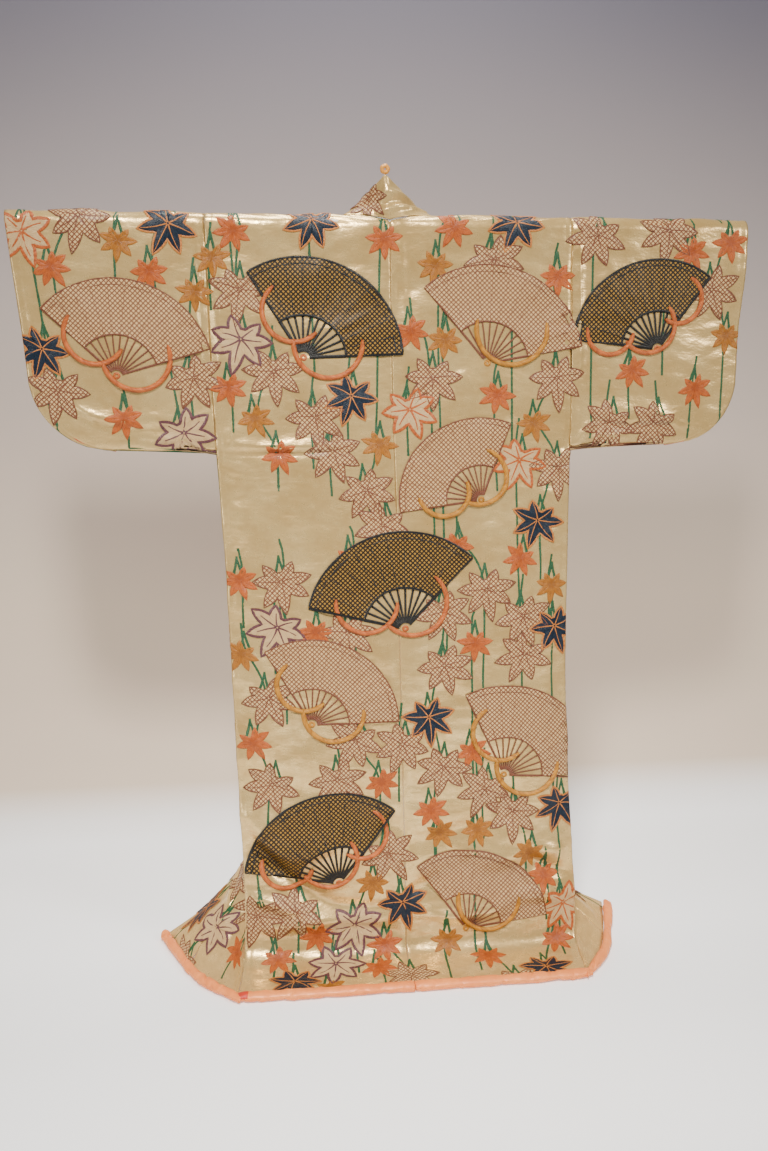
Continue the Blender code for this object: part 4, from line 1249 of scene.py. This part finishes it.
# %% From flat cloth to hung cloth
def on_panel(name, across, down):
    """Points and outward directions on a hung piece, at arrays of places on its flat cloth."""
    panel = PANELS[name]
    downs, shares = panel["downs"], panel["shares"]
    row = np.interp(down, downs, np.arange(len(downs)))
    share = np.clip(across / np.interp(down, downs, panel["widths"]), 0.003, 0.997)
    column = np.interp(share, shares, np.arange(len(shares)))
    j = np.minimum(row.astype(int), len(downs) - 2)
    i = np.minimum(column.astype(int), len(shares) - 2)
    v, u = (row - j)[:, None], (column - i)[:, None]
    found = []
    for kind in ("surface", "normals"):
        grid = panel[kind]
        upper = grid[j, i] * (1 - u) + grid[j, i + 1] * u
        lower = grid[j + 1, i] * (1 - u) + grid[j + 1, i + 1] * u
        found.append(upper * (1 - v) + lower * v)
    return found


def pick(parts, count):
    """One pair of arrays from several, each with the mask of the places that it answers for."""
    points, normals = np.zeros((count, 3)), np.zeros((count, 3))
    for mask, (here, way) in parts:
        points[mask], normals[mask] = here[mask], way[mask]
    return points, normals


def on_back(x, down):
    """The back, by the distance right of the centre seam and down from the shoulder."""
    parts = []
    for sign, side in ((-1, "left"), (1, "right")):
        half = (x * sign >= 0) if sign > 0 else (x < 0)
        panel = PANELS["body_" + side]
        across = np.abs(x) - NECK_HALF * np.maximum(0, 1 - np.abs(down) / NECK_DIP)
        width = np.interp(-down, panel["downs"], panel["widths"])
        out = half & (across > width) & (down < SLEEVE_DROP)
        parts.append((half & ~out, on_panel("body_" + side, across, -down)))
        parts.append((out, on_panel("sleeve_" + side, across - width, -down)))
    return pick(parts, len(x))


def on_front(side):
    def place(x, down):
        """One front, by the distance in from the side seam (negative on the sleeve) and down."""
        width = np.interp(down, PANELS["body_" + side]["downs"], PANELS["body_" + side]["widths"])
        sleeve = (x < 0) & (down < SLEEVE_DROP)
        overlap = (x > width) & (down > OKUMI_TIP)
        return pick(
            [
                (~sleeve & ~overlap, on_panel("body_" + side, width - x, down)),
                (sleeve, on_panel("sleeve_" + side, -x, down)),
                (overlap, on_panel("okumi_" + side, x - width, down)),
            ],
            len(x),
        )

    return place


def on_collar(x, down):
    return on_panel("collar", x, down)


REGIONS = {
    "back": on_back,
    "front_left": on_front("left"),
    "front_right": on_front("right"),
    "collar": on_collar,
}


def embroider(name, bm, region, x, down, turn, finishes):
    """Lays a flat drawing on the hung cloth: across is x, down is y, and its height is z."""
    c, s = math.cos(turn), math.sin(turn)
    flat = np.array([tuple(vert.co) for vert in bm.verts])
    xs = x + flat[:, 0] * c - flat[:, 1] * s
    ds = down + flat[:, 0] * s + flat[:, 1] * c
    points, normals = REGIONS[region](xs, ds)
    points = points + normals * flat[:, 2:3]
    cloth = bm.verts.layers.float_vector.new("cloth")
    for vert, across, below, point in zip(bm.verts, xs, ds, points):
        vert[cloth] = (across, below, 0)
        vert.co = point
    bm.normal_update()
    outward = {face: Vector(normals[face.verts[0].index]) for face in bm.faces}
    if sum(face.normal.dot(way) * face.calc_area() for face, way in outward.items()) < 0:
        bmesh.ops.reverse_faces(bm, faces=bm.faces)
    finish_piece(bpy.data.objects.new(name, finished_mesh(name, bm, *finishes)))


# %% Stitched lines and cords
def ribbon(bm, thread, line, width, base, top, finish, sides=2, closed=False):
    """A raised line of stitches along flat points; "width" may change from point to point."""
    line = np.array(line)
    tangent = (np.roll(line, -1, 0) - np.roll(line, 1, 0)) if closed else np.gradient(line, axis=0)
    if closed:
        line, tangent = np.vstack([line, line[:1]]), np.vstack([tangent, tangent[:1]])
    tangent /= np.maximum(np.linalg.norm(tangent, axis=1, keepdims=True), 1e-9)
    runs = run_lengths(line)
    widths = np.full(len(line), 1.0) * width
    verts = bmesh.ops.create_grid(bm, x_segments=len(line) - 1, y_segments=sides, size=0.5)["verts"]
    for vert in verts:
        i, k = grid_place(vert, len(line) - 1, sides)
        s = 2 * k / sides - 1
        off = s * widths[i] / 2
        vert[thread] = (runs[i], off, 0)
        rise = base + (top - base) * math.sqrt(max(1 - s * s, 0))
        vert.co = (line[i][0] - tangent[i][1] * off, line[i][1] + tangent[i][0] * off, rise)
    for face in {face for vert in verts for face in vert.link_faces}:
        face.material_index = finish


def flat_drawing():
    bm = bmesh.new()
    return bm, bm.verts.layers.float_vector.new("thread")


def arc_points(radius, start, end, count, centre=(0, 0)):
    """Points on an arc; the angle is 0 straight down and grows to the right."""
    angles = np.linspace(math.radians(start), math.radians(end), count)
    return np.stack([centre[0] + radius * np.sin(angles), centre[1] + radius * np.cos(angles)], axis=1)


# %% [markdown]
# ### Maple leaves
#
# A maple leaf has seven pointed lobes that spread like a hand, the lowest longest, as the leaf hangs from its
# stalk. One formula draws it: each lobe has an angle and a length, and between lobes the edge runs in to a
# sinus at about half of the leaf. Some leaves are filled with lattice dyeing and have a thin outline, some
# with satin stitch that slants away from a sunk midrib, some are dark with a gold-orange edge, and some are
# pale with a wide outline of purple or orange.

# %% Leaf shape
LOBES = ((-144, 0.72), (-96, 0.90), (-48, 0.95), (0, 1.06), (48, 0.95), (96, 0.90), (144, 0.72))
HALF_LOBE = 24
LOBE_STEPS = 12
SINUS = 0.47
STALK_NOTCH = 0.30
LOBE_BULGE = 0.045
STITCH_SLANT = math.radians(35)


def leaf_edge(radius, rng):
    """The edge's points with their lobe, how far each is from the lobe's middle, and the lobes' tips."""
    points, lobes, parts, tips = [], [], [], []
    half = math.radians(HALF_LOBE)
    for number, (angle, length) in enumerate(LOBES):
        angle = math.radians(angle + rng.uniform(-4, 4))
        length *= rng.uniform(0.93, 1.06)
        c, s = math.cos(angle), math.sin(angle)
        tips.append((radius * length * s, radius * length * c))
        for step in range(LOBE_STEPS):
            part = 2 * step / LOBE_STEPS - 1
            far = abs(part)
            low = STALK_NOTCH if (number == 0 and part < 0) or (number == 6 and part > 0) else SINUS
            out = length - far * (length - low * math.cos(half))
            off = math.copysign(low * math.sin(half) * far + LOBE_BULGE * math.sin(math.pi * far), part)
            points.append((radius * (out * s + off * c), radius * (out * c - off * s)))
            lobes.append(number)
            parts.append(part)
    for theta in (168, 180):
        turn = math.radians(theta)
        points.append((radius * STALK_NOTCH * math.sin(turn), radius * STALK_NOTCH * math.cos(turn)))
        lobes.append(6)
        parts.append(1.0)
    return np.array(points), lobes, parts, tips


LEAF_RINGS = (0.0, 0.30, 0.58, 0.80, 0.94, 1.0)


def leaf_fill(bm, thread, edge, lobes, parts, tips, lift, groove):
    """The filled leaf: rings from its middle to its edge, thin at the edge and sunk along the midribs."""
    count, outermost = len(edge), len(LEAF_RINGS) - 1
    c, s = math.cos(STITCH_SLANT), math.sin(STITCH_SLANT)
    for vert in bmesh.ops.create_grid(bm, x_segments=count, y_segments=outermost, size=0.5)["verts"]:
        i, k = grid_place(vert, count, outermost)
        i %= count
        point = edge[i] * LEAF_RINGS[k]
        tip = Vector(tips[lobes[i]]).normalized()
        along_lobe = point[0] * tip.x + point[1] * tip.y
        off = abs(point[0] * tip.y - point[1] * tip.x)
        vert[thread] = (along_lobe * s - off * c, along_lobe * c + off * s, 0)
        height = lift if k < outermost else 0.0
        if abs(parts[i]) < 0.05 and 0 < k < outermost:
            height -= groove
        vert.co = (point[0], point[1], height)


# %% Leaf kinds
LEAF_COLUMNS = ("radius", "fill", "line", "line_width", "vein_width", "vein_reach", "lift", "groove", "slot")
LEAF_KINDS = {
    "L": (0.0570, BROWN_LATTICE, BROWN, 0.0022, 0.0022, 0.92, 0.00090, 0.0, "leaf_brown"),
    "O": (0.0370, ORANGE, EDGE_GOLD, 0.0, 0.0, 0.0, 0.00115, 0.0008, "leaf_orange"),
    "G": (0.0360, OCHRE, EDGE_GOLD, 0.0, 0.0, 0.0, 0.00115, 0.0008, "leaf_orange"),
    "N": (0.0530, NAVY, EDGE_GOLD, 0.0034, 0.0021, 0.88, 0.00100, 0.0, "leaf_navy"),
    "P": (0.0570, CREAM, PURPLE, 0.0052, 0.0036, 0.66, 0.00090, 0.0, "leaf_brown"),
    "Q": (0.0540, CREAM, ORANGE, 0.0054, 0.0038, 0.70, 0.00090, 0.0, "leaf_orange"),
}
LEAF_COUNT = [0]
PLACED = []


def leaf(region, x, down, kind, turn, size=1.0):
    values = dict(zip(LEAF_COLUMNS, LEAF_KINDS[kind]))
    LEAF_COUNT[0] += 1
    number = LEAF_COUNT[0]
    rng = random.Random(number)
    radius = values["radius"] * size
    lift = values["lift"] + 0.00002 * (number % 9)
    bm, thread = flat_drawing()
    edge, lobes, parts, tips = leaf_edge(radius, rng)
    leaf_fill(bm, thread, edge, lobes, parts, tips, lift, values["groove"])
    if values["line_width"]:
        ribbon(bm, thread, edge, values["line_width"], lift - 0.0001, lift + 0.0006, 1, closed=True)
    if values["vein_width"]:
        for tip in tips:
            end = np.array(tip) * values["vein_reach"]
            bow = np.array((-end[1], end[0])) * rng.uniform(-0.06, 0.06)
            line = [end * t + bow * math.sin(math.pi * t) for t in np.linspace(0.04, 1, 6)]
            taper = np.linspace(1.0, 0.45, 6) * values["vein_width"]
            ribbon(bm, thread, line, taper, lift, lift + 0.0005, 1)
    bmesh.ops.remove_doubles(bm, verts=bm.verts, dist=0.00001)
    bm.verts.index_update()
    name = f"leaf_{number:03d}"
    embroider(name, bm, region, x, down, turn, (values["fill"], values["line"]))


# %% [markdown]
# ### Hanging sprays
#
# A spray is a thin green stem with leaves down it, each on a forked stalk, and the stem trails on below. A
# row of the table holds a spray: where it starts, which leaves hang from it in order, and how it sways. A
# leaf that would land too near the middle of an earlier one, or on a fan, is passed over.


# %% Sprays
CROWDING = 0.58
LEAF_SPACING = 0.86
STALK_REACH = 0.28
STEM_WIDTH = 0.0050


def clear_of(region, x, down, radius):
    for other, px, pd, reach in PLACED:
        if other == region and math.hypot(px - x, pd - down) < CROWDING * (radius + reach):
            return False
    return True


def spray(region, x, down, kinds, sway, number):
    rng = random.Random(900 + number)
    stem, place, before = [], down, 0.0
    forks = []
    for index, kind in enumerate(kinds):
        radius = LEAF_KINDS[kind][0]
        place += LEAF_SPACING * (before + radius) if before else 0.0
        before = radius
        side = -1 if (index + number) % 2 else 1
        here = x + sway * (place - down) + side * rng.uniform(0.010, 0.026)
        if clear_of(region, here, place, radius):
            PLACED.append((region, here, place, radius))
            turn = rng.uniform(-0.6, 0.6)
            leaf(region, here, place, kind, turn)
            stalk = STALK_REACH * radius
            forks.append((here + stalk * math.sin(turn), place - stalk, side))
            if not stem:
                stem.append((here, place - radius - 0.02))
            stem.append((here - side * 0.006, place - 0.3 * radius))
    if not forks:
        return
    stem.append((stem[-1][0] + rng.uniform(-0.004, 0.004), place + before + rng.uniform(0.02, 0.06)))
    bm, thread = flat_drawing()
    path = measured(spline([Vector((*p, 0)) for p in stem], 8))
    curve = [tuple(along(path, run))[:2] for run in np.arange(0, path[0][-1], 0.006)]
    ribbon(bm, thread, curve, STEM_WIDTH, -0.0002, 0.0008, 0)
    for fx, fd, side in forks:
        for lean in (-0.011, 0.007):
            line = [(fx + lean * side * (1 - t) ** 1.4, fd + 0.004 - 0.036 * t) for t in np.linspace(0, 1, 8)]
            ribbon(bm, thread, line, np.linspace(0.0062, 0.0040, 8), -0.0001, 0.0009, 0)
    bm.verts.index_update()
    embroider(f"stem_{number:03d}", bm, region, 0, 0, 0, (GREEN,))


# %% [markdown]
# ### Open fans with silk cords
#
# The large motifs are open folding fans, a common old pattern. Each has a pleated band of lattice on its
# sticks, an outline and a line inside it, and one to three thick cords that loop over it. The cords are
# padded half-round, much higher than the rest, so that they catch the light.

# %% Fans
FAN_INNER, FAN_OUTER, FAN_HALF_ANGLE, FAN_PLEATS = 0.072, 0.168, 60, 11
# Fill, line, width of the lines and of the sticks, lift off the cloth, and slot.
FAN_FINISHES = {
    "black": (BLACK_LATTICE, BLACK, 0.0044, 0.0040, 0.0019, "fan_black"),
    "brown": (BROWN_LATTICE, BROWN, 0.0026, 0.0026, 0.0017, "leaf_brown"),
}
CORD_POINTS, CORD_WIDTH, CORD_HEIGHT = 40, 0.0088, 0.0050


def spoke(angle, start, end, count):
    """Points on a straight line away from a fan's pivot."""
    return [(r * math.sin(angle), r * math.cos(angle)) for r in np.linspace(start, end, count)]


def fan(number, region, x, down, turn, kind, size, cord, cords):
    fill, line, line_width, stick_width, lift, slot = FAN_FINISHES[kind]
    bm, thread = flat_drawing()
    inner, outer = FAN_INNER * size, FAN_OUTER * size
    spread = FAN_HALF_ANGLE
    across, rings = 12 * FAN_PLEATS, 6
    for vert in bmesh.ops.create_grid(bm, x_segments=across, y_segments=rings, size=0.5)["verts"]:
        part, ring = vert.co.x + 0.5, vert.co.y + 0.5
        angle = math.radians(-spread + 2 * spread * part)
        radius = inner + (outer - inner) * ring
        pleat = abs((part * FAN_PLEATS) % 1 - 0.5)
        radius *= 1 + 0.010 * math.cos(2 * math.pi * part * FAN_PLEATS) * ring
        vert[thread] = (radius * angle, radius, 0)
        vert.co = (radius * math.sin(angle), -radius * math.cos(angle), lift + 0.0006 * pleat)
    top = lift + 0.0009
    outer_arc = arc_points(outer, 180 + spread, 180 - spread, 90)
    inner_arc = arc_points(inner, 180 - spread, 180 + spread, 40)
    ribbon(bm, thread, np.vstack([outer_arc, inner_arc]), line_width, lift, top, 1, closed=True)
    inside_arc = arc_points(outer - 0.011 * size, 180 + spread, 180 - spread, 90)
    ribbon(bm, thread, inside_arc, line_width / 2, lift, top, 1)
    for pleat in range(FAN_PLEATS + 1):
        angle = math.radians(180 - spread + 2 * spread * pleat / FAN_PLEATS)
        guard = pleat in (0, FAN_PLEATS)
        stick = spoke(angle, 0.010 * size, inner, 8)
        ribbon(bm, thread, stick, stick_width * (1.5 if guard else 1.0), 0.0010, 0.0022, 1)
        rib = spoke(angle, inner, outer * 0.995, 10)
        ribbon(bm, thread, rib, line_width * 0.4, lift, lift + 0.0007, 1)
    ribbon(bm, thread, arc_points(0.004, 0, 330, 12), 0.0045, 0.0, 0.0022, 2, closed=True)
    for centre_x, centre_y, radius, start, end in cords:
        centre = (centre_x * size, centre_y * size)
        points = arc_points(radius * size, start, end, CORD_POINTS, centre)
        ends = np.minimum(np.linspace(0, 1, CORD_POINTS), np.linspace(1, 0, CORD_POINTS))
        width = CORD_WIDTH * (0.45 + 0.55 * np.minimum(1, ends / 0.06))
        ribbon(bm, thread, points, width, 0.0010, CORD_HEIGHT, 2, sides=6)
    bmesh.ops.remove_doubles(bm, verts=bm.verts, dist=0.00001)
    bm.verts.index_update()
    embroider(f"fan_{number:02d}", bm, region, x, down, math.radians(turn), (fill, line, cord))


# Each cord's centre, radius, and first and last angle in degrees.
CORD_LOOPS = {
    "two": ((-0.050, -0.062, 0.052, -115, 75), (0.026, -0.040, 0.058, -70, 125)),
    "three": (
        (-0.072, -0.070, 0.046, -120, 60),
        (0.000, -0.048, 0.052, -80, 110),
        (0.074, -0.070, 0.046, -60, 130),
    ),
    "one": ((0.020, -0.070, 0.062, -85, 120),),
}
FAN_COLUMNS = ("region", "x", "down", "turn", "kind", "size", "cord", "loops")
FAN_ROWS = (
    ("back", -0.150, 0.250, 28, "black", 1.00, CORD_ORANGE, "two"),
    ("back", 0.470, 0.235, -24, "black", 0.92, CORD_ORANGE, "three"),
    ("back", 0.010, 0.730, -16, "black", 1.04, CORD_ORANGE, "two"),
    ("back", -0.120, 1.200, -22, "black", 1.00, CORD_ORANGE, "three"),
    ("back", -0.460, 0.280, 14, "brown", 0.96, CORD_ORANGE, "two"),
    ("back", 0.165, 0.260, 20, "brown", 1.00, CORD_GOLD, "one"),
    ("back", 0.150, 0.500, -38, "brown", 0.86, CORD_GOLD, "two"),
    ("back", -0.160, 0.900, 30, "brown", 0.92, CORD_GOLD, "two"),
    ("back", 0.185, 1.010, 36, "brown", 1.00, CORD_GOLD, "two"),
    ("back", 0.110, 1.300, 24, "brown", 0.90, CORD_GOLD, "one"),
    ("front_left", 0.150, 0.360, 20, "black", 0.90, CORD_ORANGE, "two"),
    ("front_left", 0.170, 0.920, -24, "brown", 1.00, CORD_GOLD, "two"),
    ("front_right", 0.140, 0.520, -26, "brown", 0.95, CORD_ORANGE, "two"),
    ("front_right", 0.180, 1.060, 18, "black", 0.95, CORD_ORANGE, "three"),
    ("front_left", -0.170, 0.250, -18, "brown", 0.85, CORD_GOLD, "one"),
    ("front_right", -0.160, 0.240, 16, "black", 0.80, CORD_ORANGE, "two"),
)
# Circles that keep leaves off a fan: the angle and distance of each from the fan's pivot.
FAN_CIRCLES = ((0, 0.02), (-35, 0.075), (35, 0.075), (-42, 0.125), (0, 0.125), (42, 0.125))
CIRCLE_RADIUS = 0.046
for number, row in enumerate(FAN_ROWS):
    values = dict(zip(FAN_COLUMNS, row))
    loops = CORD_LOOPS[values.pop("loops")]
    fan(number + 1, cords=loops, **values)
    for part, reach in FAN_CIRCLES:
        turn, reach = math.radians(values["turn"] + part), reach * values["size"]
        middle = (values["x"] + reach * math.sin(turn), values["down"] - reach * math.cos(turn))
        PLACED.append((values["region"], *middle, CIRCLE_RADIUS))
print("fans", len(FAN_ROWS))

# %% Sprays, listed one by one
# Across, down, the kinds of the leaves from the top down, and sway.
SPRAY_ROWS = {
    "back": (
        (-0.578, 0.045, "QLN", 0.08),
        (-0.530, 0.020, "LO", -0.10),
        (-0.455, 0.030, "OPGLO", 0.05),
        (-0.385, 0.030, "NOLNP", 0.02),
        (-0.338, 0.060, "LGOL", -0.04),
        (-0.270, 0.040, "OLPO", 0.03),
        (-0.215, 0.020, "LNOLGO", 0.00),
        (-0.150, 0.020, "NLO", 0.02),
        (-0.085, 0.030, "LQLN", 0.00),
        (-0.030, 0.050, "OLPNGL", -0.02),
        (0.052, 0.026, "PLOLQOLG", 0.02),
        (0.090, 0.030, "OGLNLP", 0.00),
        (0.150, 0.045, "LNLOL", 0.02),
        (0.205, 0.020, "NLGOL", -0.02),
        (0.265, 0.030, "LOQLGLN", 0.00),
        (0.335, 0.040, "LPOL", 0.03),
        (0.400, 0.020, "OLNO", 0.00),
        (0.460, 0.030, "LGL", 0.02),
        (0.520, 0.035, "PLNO", 0.02),
        (0.575, 0.050, "OLGL", 0.04),
        (-0.180, 0.640, "LPO", 0.02),
        (-0.255, 0.690, "LGLOL", 0.02),
        (-0.060, 0.600, "OLNGLO", 0.00),
        (0.060, 0.800, "LNLOP", 0.00),
        (0.130, 0.420, "GLOLN", 0.00),
        (0.200, 0.430, "QLOPL", 0.02),
        (0.265, 0.480, "LOLNLOL", 0.02),
        (0.120, 0.760, "OLQLGPL", 0.00),
        (0.205, 0.730, "PNLOLG", 0.02),
        (0.275, 0.900, "OLNLQ", 0.00),
        (-0.190, 0.900, "NLQOL", 0.02),
        (-0.245, 0.980, "GLPLO", -0.01),
        (-0.080, 0.960, "LOLGP", 0.00),
        (-0.020, 1.050, "PLNOL", 0.00),
        (0.060, 1.080, "QLOGL", 0.00),
        (0.250, 1.150, "LPONL", 0.02),
        (0.165, 1.200, "GLOL", 0.00),
        (-0.225, 1.240, "LONL", 0.00),
        (-0.130, 1.260, "OLG", 0.00),
        (-0.040, 1.290, "LOP", 0.00),
    ),
    "front_left": (
        (0.060, 0.060, "LOPLN", 0.02),
        (0.130, 0.480, "OLNGL", 0.00),
        (0.220, 0.300, "LPOL", 0.04),
        (0.050, 0.640, "LQLOL", 0.00),
        (0.260, 0.640, "NLOLP", 0.00),
        (0.070, 1.080, "LNLO", 0.00),
        (0.150, 1.160, "OLPL", 0.00),
        (0.250, 1.100, "LGLN", 0.00),
        (-0.080, 0.050, "OLNL", 0.00),
        (-0.240, 0.040, "LPLO", 0.00),
    ),
    "front_right": (
        (0.060, 0.080, "NLOLG", 0.02),
        (0.200, 0.120, "LOLP", 0.02),
        (0.070, 0.620, "OLPLN", 0.00),
        (0.250, 0.560, "LQLOL", 0.00),
        (0.160, 0.740, "GLN", 0.00),
        (0.080, 1.180, "LO", 0.00),
        (0.260, 1.180, "LOL", 0.00),
        (-0.070, 0.050, "LOPL", 0.00),
        (-0.250, 0.040, "OLNL", 0.00),
    ),
}
number = 0
for region, rows in SPRAY_ROWS.items():
    for row in rows:
        number += 1
        spray(region, *row, number)
print("leaves in sprays", LEAF_COUNT[0])

# %% Single leaves in the gaps
# Places left bare: from and to across, and from and to down.
BARE_ROWS = ((-0.34, -0.10, 0.42, 0.60), (-0.34, -0.19, 0.74, 0.86), (0.24, 0.34, 1.24, 1.43))
GAP_KINDS = "LLPLLOLLQLLNLLGL"
GAP_TRIES = 1500
# Half the width that leaves may cover, on the sleeves and the body above SLEEVES_DOWN, and below it.
SLEEVES_DOWN, WITH_SLEEVES, BODY_ONLY = 0.37, 0.60, 0.285
rng = random.Random(77)
for tries in range(GAP_TRIES):
    x, down = rng.uniform(-0.60, 0.60), rng.uniform(0.02, 1.38)
    half = WITH_SLEEVES if down < SLEEVES_DOWN else BODY_ONLY
    bare = any(low_x < x < high_x and low_d < down < high_d for low_x, high_x, low_d, high_d in BARE_ROWS)
    kind = GAP_KINDS[tries % len(GAP_KINDS)]
    if abs(x) < half and not bare and clear_of("back", x, down, LEAF_KINDS[kind][0]):
        spray("back", x, down, kind, 0.0, 100 + tries)
for down, kind, size in ((-0.040, "L", 0.72), (-0.150, "O", 0.8), (-0.330, "P", 0.55), (-0.520, "L", 0.55)):
    leaf("collar", 0.032, down, kind, 1.5, size)
for down, kind, size in ((0.250, "O", 0.75), (0.420, "L", 0.55), (0.580, "N", 0.55)):
    leaf("collar", 0.032, down, kind, -1.5, size)
print("leaves", LEAF_COUNT[0])

# %% [markdown]
# ## Finish
#
# The view layer is brought up to date once more at the end.

# %% The view layer brought up to date
bpy.context.view_layer.update()
